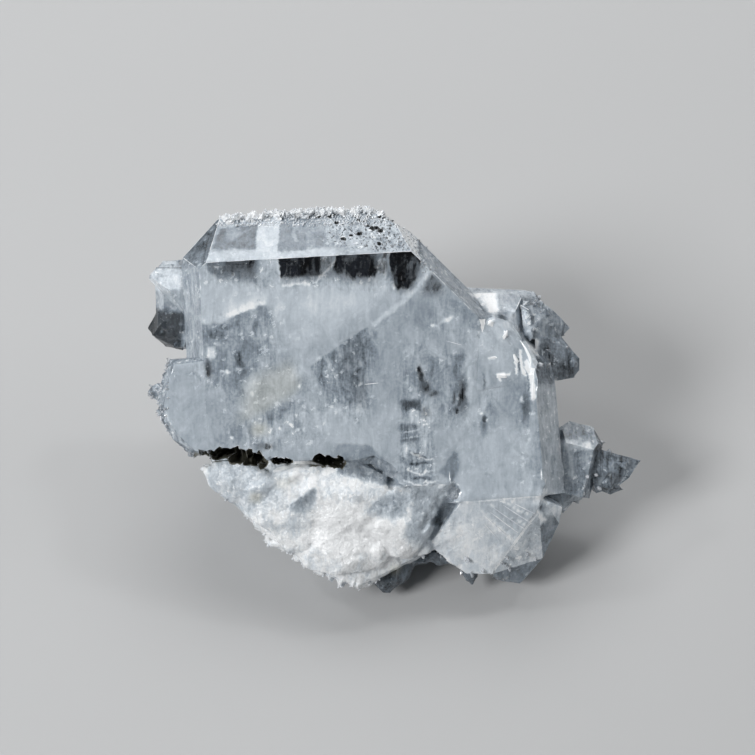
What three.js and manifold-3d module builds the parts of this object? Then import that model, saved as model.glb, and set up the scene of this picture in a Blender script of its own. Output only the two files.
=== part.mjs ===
// Faden quartz cluster: tabular quartz crystals grown together in one piece.
//
// Millimetres, +Z up. The crystals are laid out in the frame of the main plate: u to the right, v along
// its c axis, w out of its broad face, with w = 0 on that face. The finished plate is then leaned back
// by PLATE_TILT on the crystals behind it, and the whole is broken off flat at z = 0. The origin is the
// middle of the bounding box on the ground.

import * as THREE from 'three';
import { ConvexGeometry } from 'three/addons/geometries/ConvexGeometry.js';
import { mergeVertices } from 'three/addons/utils/BufferGeometryUtils.js';
import Module from 'manifold-3d';

const wasm = await Module();
wasm.setup();

// ---------------------------------------------------------------- driving dimensions (mm, degrees)

const PLATE_TILT = 35.5;            // lean of the main plate from level
const GROUND_DROP = 24;             // height of the plate's frame above the ground
const RHOMB_POLE = 51.8;            // quartz: angle between the c axis and a rhombohedron face's pole
const HALF_THICK = 5.2;             // half the thickness of the main plate

// The main plate. Its left and right prism edges are measured from its axis, the ridge and the shoulders
// up that axis, and the root down it. At the upper left a steep face takes the front rhombohedron
// face's place, so its shoulder lies out of reach.
const MAIN = {
  at: [-7, 0, -HALF_THICK], lean: 3.2, halfThick: HALF_THICK,
  left: 22, right: 23.2, ridge: 26.6, leftShoulder: 20.5, frontShoulder: 25, rightShoulder: 9.7, root: 13,
  cuts: [
    { out: [-0.5315, 0.6104, 0.5873], through: [-17.96, 20, 5.2] },
    { out: [-0.74, -0.67, 0], through: [-20, -7.4, 0] },
    { out: [0.54, 0.84, 0.1], through: [7.4, 25.4, 0] },
  ],
};

// The right plate. Its broad face is turned a few degrees and comes out of the main plate's along a
// slanting line.
const RIGHT = {
  at: [14.8, -8.2, -4.8], lean: 5, pitch: -2.3, twist: -3.9, halfThick: 5.2,
  left: 9.6, right: 9.4, ridge: 17.4, leftShoulder: 9, rightShoulder: 12.5, root: 6.2,
};
const FOOT_TOP = -15.6;             // height at u = 0 of the line where its broad face ends and its foot begins
const FOOT_RISE = 0.0875;           // climb of that line to the right
const FOOT_DIP = 22;                // dip of the foot from the broad face

// ---------------------------------------------------------------- small tools

const radians = THREE.MathUtils.degToRad;

// Repeatable random numbers between 0 and 1.
function randomFrom(seed) {
  let state = seed * 7919 + 17;
  return () => {
    state = (state * 1664525 + 1013904223) % 4294967296;
    return state / 4294967296;
  };
}

// A closed geometry as a solid that can be joined and cut.
function solidOf(geometry) {
  const bare = geometry.index ? geometry.toNonIndexed() : geometry.clone();
  bare.deleteAttribute('normal');
  bare.deleteAttribute('uv');
  const merged = mergeVertices(bare, 1e-5);
  const vertProperties = new Float32Array(merged.attributes.position.array);
  const triVerts = new Uint32Array(merged.index.array);
  return new wasm.Manifold(new wasm.Mesh({ numProp: 3, vertProperties, triVerts }));
}

function geometryOf(solid) {
  const mesh = solid.getMesh();
  const geometry = new THREE.BufferGeometry();
  geometry.setAttribute('position', new THREE.BufferAttribute(new Float32Array(mesh.vertProperties), 3));
  geometry.setIndex(Array.from(mesh.triVerts));
  return geometry;
}

function joined(solids) {
  return solids.reduce((whole, solid) => whole.add(solid));
}

// The largest body of a solid, without the crumbs and pinholes that the cuts leave.
function largestOf(solid) {
  return solid.decompose().reduce((best, body) => (body.volume() > best.volume() ? body : best));
}

// Turns about the c axis first, then out of the plate, then in the plate, and moves to its place.
function placement({ at, lean = 0, pitch = 0, twist = 0 }) {
  const matrix = new THREE.Matrix4().makeTranslation(...at);
  matrix.multiply(new THREE.Matrix4().makeRotationZ(radians(lean)));
  matrix.multiply(new THREE.Matrix4().makeRotationX(radians(pitch)));
  matrix.multiply(new THREE.Matrix4().makeRotationY(radians(twist)));
  return matrix;
}

// The corners of the convex solid bounded by planes, each a normal n and a distance d with n.p <= d.
function cornersOf(planes) {
  const corners = [];
  const matrix = new THREE.Matrix3();
  for (let i = 0; i < planes.length; i += 1) {
    for (let j = i + 1; j < planes.length; j += 1) {
      for (let k = j + 1; k < planes.length; k += 1) {
        const [a, b, c] = [planes[i], planes[j], planes[k]];
        matrix.set(...a.normal.toArray(), ...b.normal.toArray(), ...c.normal.toArray());
        if (Math.abs(matrix.determinant()) < 1e-6) continue;
        const corner = new THREE.Vector3(a.distance, b.distance, c.distance).applyMatrix3(matrix.invert());
        if (planes.every((plane) => plane.normal.dot(corner) <= plane.distance + 1e-6)) corners.push(corner);
      }
    }
  }
  return corners;
}

// ---------------------------------------------------------------- quartz

// The pole of a face: azimuth about the c axis from the broad face, and angle from the c axis.
function pole(azimuth, fromAxis, end = 1) {
  const ring = Math.sin(radians(fromAxis));
  return new THREE.Vector3(
    ring * Math.sin(radians(azimuth)),
    end * Math.cos(radians(fromAxis)),
    ring * Math.cos(radians(azimuth)),
  );
}

function planeThrough(normal, point) {
  return { normal, distance: normal.dot(new THREE.Vector3(...point)) };
}

// The six rhombohedron faces at one end. The front and back faces meet in the ridge, and the side pairs
// meet the prism's edges at the shoulders; the front face on the left has a shoulder of its own.
function endFaces({ ridge, leftShoulder, frontShoulder = leftShoulder, rightShoulder, left, right }, end) {
  const through = (azimuth, point) => planeThrough(pole(azimuth, RHOMB_POLE, end), point);
  return [
    through(0, [0, end * ridge, 0]),
    through(180, [0, end * ridge, 0]),
    through(60, [right, end * rightShoulder, 0]),
    through(120, [right, end * rightShoulder, 0]),
    through(-60, [-left, end * frontShoulder, 0]),
    through(-120, [-left, end * leftShoulder, 0]),
  ];
}

// A quartz crystal with its c axis along +Y and its broad faces towards +Z and -Z. Its root is broken
// off square, or ends in faces of its own where `foot` gives them. Each of `cuts` is one more plane, an
// outward direction and a point that it goes through.
function quartz({ halfThick, left, right, root, foot, ...rest }) {
  const { cuts = [], ridge, leftShoulder, frontShoulder, rightShoulder, ...place } = rest;
  const planes = [
    planeThrough(pole(0, 90), [0, 0, halfThick]),
    planeThrough(pole(180, 90), [0, 0, -halfThick]),
    planeThrough(pole(60, 90), [right, 0, 0]),
    planeThrough(pole(120, 90), [right, 0, 0]),
    planeThrough(pole(-60, 90), [-left, 0, 0]),
    planeThrough(pole(-120, 90), [-left, 0, 0]),
    ...endFaces({ ridge, leftShoulder, frontShoulder, rightShoulder, left, right }, 1),
    planeThrough(new THREE.Vector3(0, -1, 0), [0, -root, 0]),
  ];
  if (foot) planes.push(...endFaces({ ...foot, left, right }, -1));
  cuts.forEach(({ out, through }) => {
    planes.push(planeThrough(new THREE.Vector3(...out).normalize(), through));
  });
  const matrix = placement(place);
  return solidOf(new ConvexGeometry(cornersOf(planes).map((corner) => corner.applyMatrix4(matrix))));
}

// A small stubby crystal: a regular prism of the given radius with a pointed end.
function point({ radius, length, root = 2, flat = 1, ...place }) {
  const shoulder = length - radius * 1.1;
  return quartz({
    halfThick: radius * 0.87 * flat, left: radius, right: radius, ridge: shoulder + radius * 1.1 * flat,
    leftShoulder: shoulder, rightShoulder: shoulder, root, ...place,
  });
}

function hullOf(points) {
  return solidOf(new ConvexGeometry(points.map((p) => new THREE.Vector3(...p))));
}

// A chipped piece of broken quartz: the hull of points scattered over an ellipsoid.
function chip({ size, corners = 14, seed = 1, ...place }) {
  const random = randomFrom(seed);
  const matrix = placement(place);
  const points = [];
  for (let i = 0; i < corners; i += 1) {
    const height = 1 - (2 * (i + 0.5)) / corners;
    const ring = Math.sqrt(1 - height * height);
    const angle = i * 2.399963 + random();
    const reach = 0.8 + 0.2 * random();
    points.push(new THREE.Vector3(
      size[0] * reach * ring * Math.cos(angle),
      size[1] * reach * ring * Math.sin(angle),
      size[2] * reach * height,
    ).applyMatrix4(matrix));
  }
  return solidOf(new ConvexGeometry(points));
}

// Chips strung along a line of points in the plate's frame.
function chipsAlong({ path, count, size, spread, seed, corners = 10 }) {
  const random = randomFrom(seed);
  const curve = new THREE.CatmullRomCurve3(path.map((p) => new THREE.Vector3(...p)), false, 'catmullrom', 0);
  const chips = [];
  for (let i = 0; i < count; i += 1) {
    const at = curve.getPointAt((i + 0.5) / count).toArray();
    const grown = size.map((reach) => reach * (0.7 + 0.6 * random()));
    const moved = at.map((value) => value + spread * (2 * random() - 1));
    chips.push(chip({ at: moved, size: grown, corners, seed: seed * 100 + i, lean: 360 * random() }));
  }
  return chips;
}

// A sliver that narrows from a six-sided base to its tip.
function shard({ from, to, width, thick = width }) {
  const base = new THREE.Vector3(...from);
  const tip = new THREE.Vector3(...to);
  const along = tip.clone().sub(base);
  const heading = along.clone().normalize();
  const turn = new THREE.Quaternion().setFromUnitVectors(new THREE.Vector3(0, 1, 0), heading);
  const points = [tip];
  [[0, 1], [0.55, 0.72]].forEach(([share, scale]) => {
    for (let i = 0; i < 6; i += 1) {
      const angle = radians(60 * i + 30);
      const corner = new THREE.Vector3(width * scale * Math.cos(angle), 0, thick * scale * Math.sin(angle));
      points.push(corner.applyQuaternion(turn).addScaledVector(along, share).add(base));
    }
  });
  return solidOf(new ConvexGeometry(points));
}

// ---------------------------------------------------------------- the main plate and its neighbours

// The main plate. Its lower edge is broken away, down to a slanting line on the right.
function mainPlate() {
  const outline = [[-30, -8.8], [-8, -8.9], [-3, -9.3], [1.4, -12.4], [2.4, -15], [-30, -15]];
  const missing = hullOf([-1.8, 1].flatMap((w) => outline.map(([u, v]) => [u, v, w])));
  return quartz(MAIN).subtract(missing);
}

// The sugary crest along the main plate's ridge, where its end never healed to clean faces.
function crest() {
  const along = (dropV, w) => [
    [-24.2, 25.5 - dropV, w], [-13, 26.4 - dropV, w], [-3.2, 26.8 - dropV, w], [-1.2, 25.6 - dropV, w],
    [0.6, 24.3 - dropV, w],
  ];
  return [
    ...chipsAlong({ path: along(0.05, -5.2), count: 31, size: [0.95, 0.8, 1.2], spread: 0.18, seed: 3 }),
    ...chipsAlong({ path: along(0.8, -4.75), count: 14, size: [0.8, 0.6, 0.5], spread: 0.2, seed: 4 }),
  ];
}

// The crystal beside the main plate's lower left edge. Its face runs on from the main plate's, falling
// gently, and ends in a bevelled rim that small crystals cover.
function lowerLeft() {
  const frontAt = (u, v) => Math.min(0.1 * (u + 26 + 0.056 * v), 0) - 0.004;
  const face = [
    [-25.9, 5.2], [-30.6, 4.7], [-31.3, 2.6], [-32, -1], [-31.3, -3.2], [-30, -5.2], [-27.6, -7.4],
    [-25.2, -7.8],
  ];
  const rim = [
    [-25.9, 5.8], [-31.4, 5.4], [-32.1, 3.4], [-33, -1.2], [-32.3, -3.6], [-30.9, -5.9], [-28, -8.3],
    [-25.2, -8.8],
  ];
  return [
    hullOf([
      ...face.map(([u, v]) => [u, v, frontAt(u, v)]),
      ...rim.map(([u, v]) => [u, v, frontAt(u, v) - 1.3]),
      ...rim.map(([u, v]) => [u + 0.6, v + 0.3, -8]),
    ]),
    chip({ at: [-33, 0.9, -4.4], size: [2.1, 1.5, 1.5], corners: 18, seed: 45 }),
    chip({ at: [-30.8, 4.2, -3.4], size: [1.5, 1.6, 1.8], corners: 14, seed: 46 }),
    ...chipsAlong({
      path: [[-31.2, 5, -2.2], [-31.9, 2.8, -2.6], [-32.8, -0.8, -2.8], [-31.8, -3.6, -2.6],
        [-30.2, -5.8, -2.4], [-27.9, -7.9, -2.2]],
      count: 18, size: [0.75, 0.7, 1.1], spread: 0.25, seed: 5,
    }),
  ];
}

// The right plate and the sloping foot below it, broken off at its lower edge. A strip along the foot's
// right side falls away from it.
function rightPlate() {
  const foot = [
    [12, -11], [10.2, -13.9], [5.3, -20.6], [7.2, -22.8], [10.6, -25.3], [14.4, -25], [21, -14.8],
    [21.6, -12.6], [21, -11],
  ];
  const crease = [[21.2, -14.2], [20.6, -16.2], [14, -25.2]];
  const outer = [[15.2, -26.3], [18.4, -26.8], [21.6, -23], [23.7, -17.8], [24, -15.4]];
  const faceUp = pole(0, 90).transformDirection(placement(RIGHT));
  const onFace = new THREE.Vector3(0, 0, RIGHT.halfThick).applyMatrix4(placement(RIGHT));
  const faceAt = (u, v) => onFace.z - (faceUp.x * (u - onFace.x) + faceUp.y * (v - onFace.y)) / faceUp.z;
  const fall = Math.tan(radians(FOOT_DIP));
  const footTop = (u) => FOOT_TOP + FOOT_RISE * u;
  const frontAt = (u, v) => faceAt(u, Math.max(v, footTop(u))) + fall * Math.min(0, v - footTop(u));
  const solid = hullOf([
    ...foot.map(([u, v]) => [u, v, frontAt(u, v)]),
    ...foot.map(([u, v]) => [u, v + 1, -9.6]),
  ]);
  const strip = hullOf([
    ...crease.map(([u, v]) => [u, v, frontAt(u, v) - 0.15]),
    ...outer.map(([u, v]) => [u, v, frontAt(u, v) - 1.9]),
    ...[...crease, ...outer].map(([u, v]) => [u, v + 1, -10]),
  ]);
  return [
    quartz(RIGHT),
    solid.add(strip).subtract(chip({ at: [14.2, -26.6, -7], size: [0.9, 2.4, 6], corners: 16, seed: 85 })),
    ...chipsAlong({
      path: [[6.8, -21.6, -5.4], [10.4, -24.4, -7], [12.6, -24.8, -7.4]],
      count: 5, size: [1.3, 1, 1.5], spread: 0.3, seed: 8,
    }),
    ...chipsAlong({
      path: [[16, -25.8, -8], [19.4, -24.8, -8]], count: 3, size: [1.2, 1, 1.6], spread: 0.2, seed: 18,
    }),
    shard({ from: [11, -24.2, -6.4], to: [11.7, -27.4, -7], width: 1.4 }),
  ];
}

// The thin plates behind the main plate's right slope, the stepped growth over the right plate's end and
// the stout crystals beside it.
function upperRight() {
  const slope = [
    [11.8, 1, 0.03], [12.2, 9.3, 0.03], [14, 11.8, -1.4], [16.8, 11, -2.3], [18.4, 8.4, -1.7],
    [19.4, 5.2, -0.6], [20, 2.4, 0.35], [16, 1.9, 0.15],
  ];
  const upper = [
    [18.4, 13.2, -4.6], [18.8, 8.6, -3.9], [21.4, 13.9, -5.8], [23.5, 12.3, -5.9], [25.7, 10, -6.3],
    [24.5, 8.7, -6.1], [21.6, 8, -4.5], [21.5, 11.4, -4],
  ];
  const lower = [
    [20.4, 3.4, -3.2], [20.4, 9.4, -4.2], [24.2, 9, -6], [25.9, 6.7, -5.4], [27, 5.6, -5.9],
    [27, 3.9, -6.1], [26.2, 2.8, -6.2], [23.6, 2.4, -5.2],
  ];
  const blades = [
    [18.04, 8.1, -1.5, 0.1], [18.74, 7, -1, 0.2], [19.3, 5.7, -0.6, 0.3], [19.72, 4.2, -0.1, 0.36],
    [20, 2.5, 0.35, 0.42], [19.9, -0.1, 0.5, 0.42],
  ].map(([u, v, w, half]) => [
    [u - half, v, w - 0.8], [u + half, v, w - 0.8],
    [u - 0.7 * half, v, w + 0.35], [u + 0.8 * half, v, w + 0.45],
  ]);
  return [
    quartz({
      at: [15.2, 8, -5.6], lean: -2, halfThick: 2.2, left: 9, right: 3.4, ridge: 7, leftShoulder: 7,
      rightShoulder: 6.4, root: 12,
    }),
    quartz({
      at: [15, 8, -8], lean: -3, halfThick: 2.6, left: 8, right: 6.4, ridge: 7.7, leftShoulder: 8,
      rightShoulder: 6.4, root: 12,
    }),
    hullOf([
      ...slope, ...slope.map(([u, v, w]) => [15.6 + 1.1 * (u - 15.6), 5.6 + 1.1 * (v - 5.6), w - 5]),
    ]),
    chip({ at: [13.7, 10.3, -1.1], size: [1.1, 0.8, 0.6], corners: 12, seed: 25, lean: 20 }),
    chip({ at: [15.9, 8.7, -0.95], size: [0.5, 1.1, 0.6], corners: 12, seed: 26, lean: -25 }),
    chip({ at: [14.3, 5.7, -0.2], size: [0.8, 0.5, 0.5], corners: 12, seed: 27 }),
    chip({ at: [15.4, 3.1, 0], size: [1.2, 0.5, 0.5], corners: 12, seed: 28 }),
    chip({ at: [17.4, 5, -0.3], size: [0.7, 1.5, 0.6], corners: 14, seed: 37, lean: 10 }),
    chip({ at: [19, 2.4, -3.4], size: [2.6, 3.8, 2.5], corners: 26, seed: 29 }),
    chip({ at: [21.4, 1.2, -5.4], size: [2, 4.2, 2.6], corners: 20, seed: 30 }),
    ...blades.slice(1).map((blade, i) => hullOf([...blades[i], ...blade])),
    hullOf([
      ...upper, ...upper.map(([u, v]) => [20 + 0.9 * (u - 20), 10.6 + 0.9 * (v - 10.6), -9.4]),
    ]),
    hullOf([
      ...lower, ...lower.map(([u, v]) => [21 + 0.86 * (u - 21), 5.6 + 0.86 * (v - 5.6), -9]),
    ]),
    chip({ at: [19.4, 11.4, -4.2], size: [0.9, 1.5, 0.9], corners: 14, seed: 21, lean: 12 }),
    chip({ at: [22.2, 12.1, -5], size: [0.8, 0.9, 0.7], corners: 12, seed: 22, lean: 40 }),
    chip({ at: [19.6, 9, -3.7], size: [0.8, 1.1, 0.7], corners: 12, seed: 23 }),
    chip({ at: [22.4, 6.4, -4.6], size: [1.3, 0.6, 0.6], corners: 12, seed: 24, lean: -30 }),
    chip({ at: [26, 5, -5.5], size: [0.9, 1, 0.8], corners: 14, seed: 34 }),
    ...chipsAlong({
      path: [[18.8, 13.6, -5], [21.2, 13, -6], [23, 11.2, -6.2]],
      count: 5, size: [0.8, 0.7, 1], spread: 0.3, seed: 9,
    }),
  ];
}

// The small crystals that point away to the right.
function rightTips() {
  return [
    quartz({
      at: [26.8, -9, -6.4], lean: -14, halfThick: 2.5, left: 4, right: 3, ridge: 5.2, leftShoulder: 3.6,
      rightShoulder: 3, root: 5,
    }),
    hullOf([
      [30, -7.4, -5.8], [32.2, -8.5, -6], [36, -9.1, -7.2], [34.3, -11.5, -6.8], [32.6, -13, -7],
      [29.4, -13.8, -6.2], [28.4, -10.4, -4.9], [31, -10.6, -5.2], [28.8, -8, -9.4], [33, -9.4, -9],
      [32, -12.8, -9.4], [28.8, -13.2, -9.8],
    ]),
    chip({ at: [31.6, -13, -9], size: [2.9, 1.3, 1.8], corners: 14, seed: 31 }),
    chip({ at: [33, -9.6, -6.3], size: [1.3, 0.9, 0.8], corners: 12, seed: 35, lean: -20 }),
    chip({ at: [31, -12.2, -6], size: [1.4, 1, 0.8], corners: 12, seed: 38, lean: 25 }),
    chip({ at: [23, -10.6, -4.8], size: [2, 3.6, 2.4], corners: 22, seed: 36 }),
    chip({ at: [25.4, -12.8, -6.8], size: [3.6, 3, 3], corners: 20, seed: 32, lean: 30 }),
    chip({ at: [24, -14.6, -7.2], size: [2.6, 2.4, 2.6], corners: 16, seed: 33 }),
  ];
}

// The crystals behind the main plate's left edge.
function leftCrystals() {
  return [
    quartz({
      at: [-29.2, 12.5, -7.6], lean: 0, halfThick: 2.6, left: 5.9, right: 6, ridge: 6.4, leftShoulder: 5.2,
      rightShoulder: 8, root: 4, foot: { ridge: 9, leftShoulder: -4.6, rightShoulder: 9 },
    }),
    quartz({
      at: [-29.4, 12.5, -9.8], lean: 2, halfThick: 2.6, left: 5, right: 6, ridge: 7.6, leftShoulder: 6.2,
      rightShoulder: 8, root: 3,
    }),
    chip({ at: [-31.4, 10.4, -8.6], size: [4.2, 4, 2.8], corners: 18, seed: 41 }),
    chip({ at: [-30.2, 8.8, -8.4], size: [2.6, 2.2, 2.4], corners: 14, seed: 42 }),
  ];
}

// ---------------------------------------------------------------- the broken lower edge

// The white mass under the main plate's lower edge, all fractured surfaces.
function brokenMass() {
  const rim = [
    [-26.6, -9.6], [-26, -11.6], [-23.2, -14.2], [-19.8, -17.2], [-18.2, -19.8], [-14.2, -22.2],
    [-10, -25], [-6.6, -26.6], [-4, -27], [-2.6, -25], [6, -22], [8.6, -15.4], [4.4, -12.8], [-2, -9.4],
    [-8, -9],
  ];
  const [middleU, middleV] = [-8, -14];
  const layer = (scale, w) => rim.map(([u, v]) => [
    middleU + scale * (u - middleU), middleV + scale * (v - middleV), w,
  ]);
  const ramp = [
    [0.6, -11.8, -0.15], [8.8, -12.2, -0.15], [9.6, -14.4, -1.3], [7.8, -17.8, -3], [1.6, -18, -2.6],
    [0, -14.6, -1],
  ];
  return [
    hullOf([
      ...layer(0.5, -0.9), ...layer(0.8, -1.5), ...layer(0.96, -2.7), ...layer(1, -4.4),
      ...layer(0.92, -10.6),
    ]),
    hullOf([...ramp, ...ramp.map(([u, v]) => [u, v, -7])]),
    chip({ at: [-21, -12, -1.6], size: [6.8, 3.6, 2], corners: 26, seed: 51, lean: -20 }),
    chip({ at: [-15.6, -15, -1.7], size: [7.4, 5.2, 2.4], corners: 30, seed: 52, lean: -25 }),
    chip({ at: [-6.4, -14.4, -1.5], size: [8.4, 6.4, 2.5], corners: 34, seed: 53 }),
    chip({ at: [-7, -20.6, -2], size: [8, 5.4, 2.6], corners: 30, seed: 54 }),
    chip({ at: [-13, -18.6, -2.2], size: [6.6, 4.2, 2.4], corners: 26, seed: 55, lean: -30 }),
    chip({ at: [0.6, -17.6, -1.7], size: [6, 6, 2.5], corners: 30, seed: 56 }),
    chip({ at: [-18.4, -12.6, -1], size: [3, 1.9, 1.9], corners: 18, seed: 57, lean: 20 }),
    chip({ at: [-10.8, -13.4, -1], size: [2.4, 3.4, 2], corners: 18, seed: 58, lean: -10 }),
    chip({ at: [-2.6, -21.6, -1.6], size: [3.4, 2.4, 2], corners: 18, seed: 59 }),
    chip({ at: [-12.6, -10.8, -1.4], size: [4.6, 2, 1.5], corners: 20, seed: 63 }),
    chip({ at: [-18.4, -17.4, -3.4], size: [2.2, 2.4, 2], corners: 16, seed: 64, lean: 30 }),
    chip({ at: [-11.4, -22.6, -3.6], size: [3.6, 2, 2.2], corners: 18, seed: 65, lean: -25 }),
    chip({ at: [3.8, -20.2, -2.8], size: [3, 2.6, 2.2], corners: 18, seed: 66 }),
    chip({ at: [5, -15.2, -2], size: [2.6, 2.4, 1.8], corners: 18, seed: 67 }),
    chip({ at: [-3.6, -24.8, -4], size: [3, 1.8, 2.2], corners: 16, seed: 68 }),
    ...chipsAlong({
      path: rim.slice(0, 10).map(([u, v]) => [u + 0.3, v + 0.3, -4.4]),
      count: 26, size: [1.5, 1.1, 2.2], spread: 0.35, seed: 6,
    }),
  ];
}

// The small crystals under the broken mass.
function bottomCrystals() {
  return [
    point({ at: [-0.6, -24, -6.6], lean: 176, radius: 2.4, length: 5, flat: 0.8 }),
    point({ at: [1.6, -23.6, -7], lean: 168, radius: 1.7, length: 4.2, flat: 0.8 }),
    chip({ at: [3.6, -22.6, -7.6], size: [4.6, 2, 2.2], corners: 16, seed: 61 }),
    chip({ at: [7.4, -22.8, -7.4], size: [3, 1.8, 2], corners: 14, seed: 62 }),
  ];
}

// ---------------------------------------------------------------- hollows

// The deep ragged crevice between the main plate and the broken mass, in stretches left to right.
function crevice() {
  const stretch = (line, half, count, seed) => chipsAlong({
    path: line.map(([u, v]) => [u, v, -0.5]), count, size: [1.1, half, 8], spread: 0.12, seed,
  });
  return [
    ...stretch([[-27.6, -8.7], [-25.4, -7.9], [-23, -7.8], [-20.6, -8.3], [-17.9, -8.7]], 1.5, 11, 71),
    ...stretch([[-16.9, -8.7], [-14.2, -8.9]], 0.7, 4, 72),
    ...stretch([[-10.8, -8.3], [-6.9, -9.1]], 0.85, 6, 73),
  ];
}

// Shell-like hollows where flakes broke away beside the crevice and between the two plates.
function flakeHollows() {
  return [
    chip({ at: [-2.6, -10.4, 1], size: [5.4, 2.6, 2.4], corners: 30, seed: 81, lean: -14 }),
    chip({ at: [8.4, -12.9, 0.9], size: [1.9, 1.6, 2], corners: 20, seed: 82 }),
    chip({ at: [6, -16, 0.6], size: [4.4, 1.4, 2.2], corners: 18, seed: 83, lean: 56 }),
  ];
}

// Etched pits on the right half of the main plate's bright end face.
function etchedPits() {
  const random = randomFrom(87);
  const toPlate = placement(MAIN);
  const pits = [];
  for (let i = 0; i < 16; i += 1) {
    const x = -2 + 9 * Math.sqrt(random());
    const y = 20.6 + 5 * random();
    const z = ((MAIN.ridge - y) * Math.cos(radians(RHOMB_POLE))) / Math.sin(radians(RHOMB_POLE));
    const at = new THREE.Vector3(x, y, z).applyMatrix4(toPlate).toArray();
    const size = 0.3 + 0.3 * random();
    pits.push(chip({ at, size: [size, size * 0.8, size], corners: 9, seed: 870 + i }));
  }
  return pits;
}

// ---------------------------------------------------------------- the hidden side

// A place given from the ground up, in the plate's frame.
function overGround(x, y, z) {
  const place = new THREE.Vector3(x, y, z - GROUND_DROP);
  return place.applyAxisAngle(new THREE.Vector3(1, 0, 0), -radians(PLATE_TILT)).toArray();
}

// What carries the main plate: broken quartz and stout crystals that grew from its back.
function backGrowth() {
  return [
    chip({ at: overGround(-7, 0, 5), size: [17, 12, 9], corners: 30, seed: 91, pitch: -PLATE_TILT }),
    chip({ at: overGround(8, -1, 6), size: [13, 11, 9], corners: 26, seed: 92, pitch: -PLATE_TILT }),
    chip({ at: overGround(-1, 8, 9), size: [15, 9, 10], corners: 26, seed: 93, pitch: -PLATE_TILT }),
    point({ at: [-15, 6, -9.5], pitch: -62, lean: 12, radius: 4.2, length: 13, twist: 10 }),
    point({ at: [-4, 9, -9.5], pitch: -50, lean: -4, radius: 5, length: 14, flat: 0.75, twist: 20 }),
    point({ at: [7, 7, -9.5], pitch: -58, lean: -10, radius: 4.4, length: 12.5, twist: 5 }),
    point({ at: [14, 1, -9], pitch: -72, lean: -24, radius: 3.4, length: 11, root: 4 }),
    point({ at: [-20, 0, -8.5], pitch: -76, lean: 24, radius: 3.4, length: 10.5, root: 4 }),
    point({ at: [-10, 15.5, -8.5], pitch: -36, lean: 8, radius: 2.8, length: 8.5, flat: 0.7 }),
    point({ at: [-1, 15.5, -8.5], pitch: -42, lean: -8, radius: 3, length: 8, twist: 30 }),
    point({ at: [-18, 13, -8], pitch: -52, lean: 16, radius: 2.4, length: 6.5 }),
    point({ at: [11, -9, -8], pitch: -100, lean: -20, radius: 3.2, length: 9 }),
    point({ at: [-15, -7, -8.5], pitch: -100, lean: 20, radius: 3, length: 9 }),
  ];
}

// Everything below the ground, as a block in the plate's frame.
function belowGround() {
  const depth = 60;
  const block = new THREE.BoxGeometry(200, 200, depth);
  block.translate(0, 0, -depth / 2 - GROUND_DROP);
  block.rotateX(-radians(PLATE_TILT));
  return solidOf(block);
}

// ---------------------------------------------------------------- the whole

const grown = joined([
  mainPlate(), ...crest(), ...lowerLeft(), ...rightPlate(), ...upperRight(), ...rightTips(),
  ...leftCrystals(), ...brokenMass(), ...bottomCrystals(), ...backGrowth(),
]);
const broken = grown.subtract(joined([...crevice(), ...flakeHollows(), ...etchedPits(), belowGround()]));

const group = new THREE.Group();
const material = new THREE.MeshStandardMaterial({ color: 0xdfe6ee, roughness: 0.2, metalness: 0 });
const cluster = new THREE.Mesh(geometryOf(largestOf(broken)), material);
cluster.name = 'quartz_cluster';
cluster.rotation.x = radians(PLATE_TILT);
group.add(cluster);

// The origin goes to the middle of the box that the cluster fills, on the ground.
group.updateMatrixWorld(true);
const reach = new THREE.Box3().setFromObject(cluster, true);
const middle = reach.getCenter(new THREE.Vector3());
cluster.position.set(-middle.x, -middle.y, -reach.min.z);

export default group;
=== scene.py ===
"""Faden quartz cluster: the look of clear and milky quartz plates grown together in one piece.

Places on the cluster are in millimetres in the frame of its main plate: u to the right, v up the plate's
c axis and w out of its broad face, with w = 0 on that face. Meshes, lamps and the camera are in metres in
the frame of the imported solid.
"""

from __future__ import annotations

import logging
import math
import random
from dataclasses import dataclass, field
from enum import Enum
from typing import Any, Iterator, Mapping, Sequence, Union

import bmesh
import bpy
import numpy as np
from mathutils import Matrix, Vector, noise
from mathutils.bvhtree import BVHTree

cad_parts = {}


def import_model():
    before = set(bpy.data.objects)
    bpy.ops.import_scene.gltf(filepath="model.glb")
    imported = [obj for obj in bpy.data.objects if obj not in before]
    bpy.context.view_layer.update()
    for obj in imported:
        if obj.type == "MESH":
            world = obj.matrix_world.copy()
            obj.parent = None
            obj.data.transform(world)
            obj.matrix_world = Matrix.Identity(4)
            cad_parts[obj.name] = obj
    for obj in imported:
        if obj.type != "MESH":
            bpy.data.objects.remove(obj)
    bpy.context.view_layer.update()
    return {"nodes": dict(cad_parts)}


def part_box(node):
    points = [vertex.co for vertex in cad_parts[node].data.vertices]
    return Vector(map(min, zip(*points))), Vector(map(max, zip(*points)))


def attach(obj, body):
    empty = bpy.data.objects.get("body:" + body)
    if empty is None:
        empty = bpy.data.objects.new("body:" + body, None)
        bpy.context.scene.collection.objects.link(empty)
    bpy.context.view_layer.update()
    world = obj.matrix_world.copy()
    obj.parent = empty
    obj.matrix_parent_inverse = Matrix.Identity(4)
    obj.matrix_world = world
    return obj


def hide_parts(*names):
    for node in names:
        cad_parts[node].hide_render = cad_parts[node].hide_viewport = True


LOG = logging.getLogger("quartz_cluster")
MM = 0.001
WELD = 2e-6
BODY = "root"
NODE = "quartz_cluster"
GLASS_SOCKETS = {"Roughness": 0.02, "Transmission Weight": 1.0}

Colour = tuple[float, float, float]
Place = tuple[float, float, float]
Spread = tuple[float, float]


# ---------------------------------------------------------------- frame of the main plate


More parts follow.
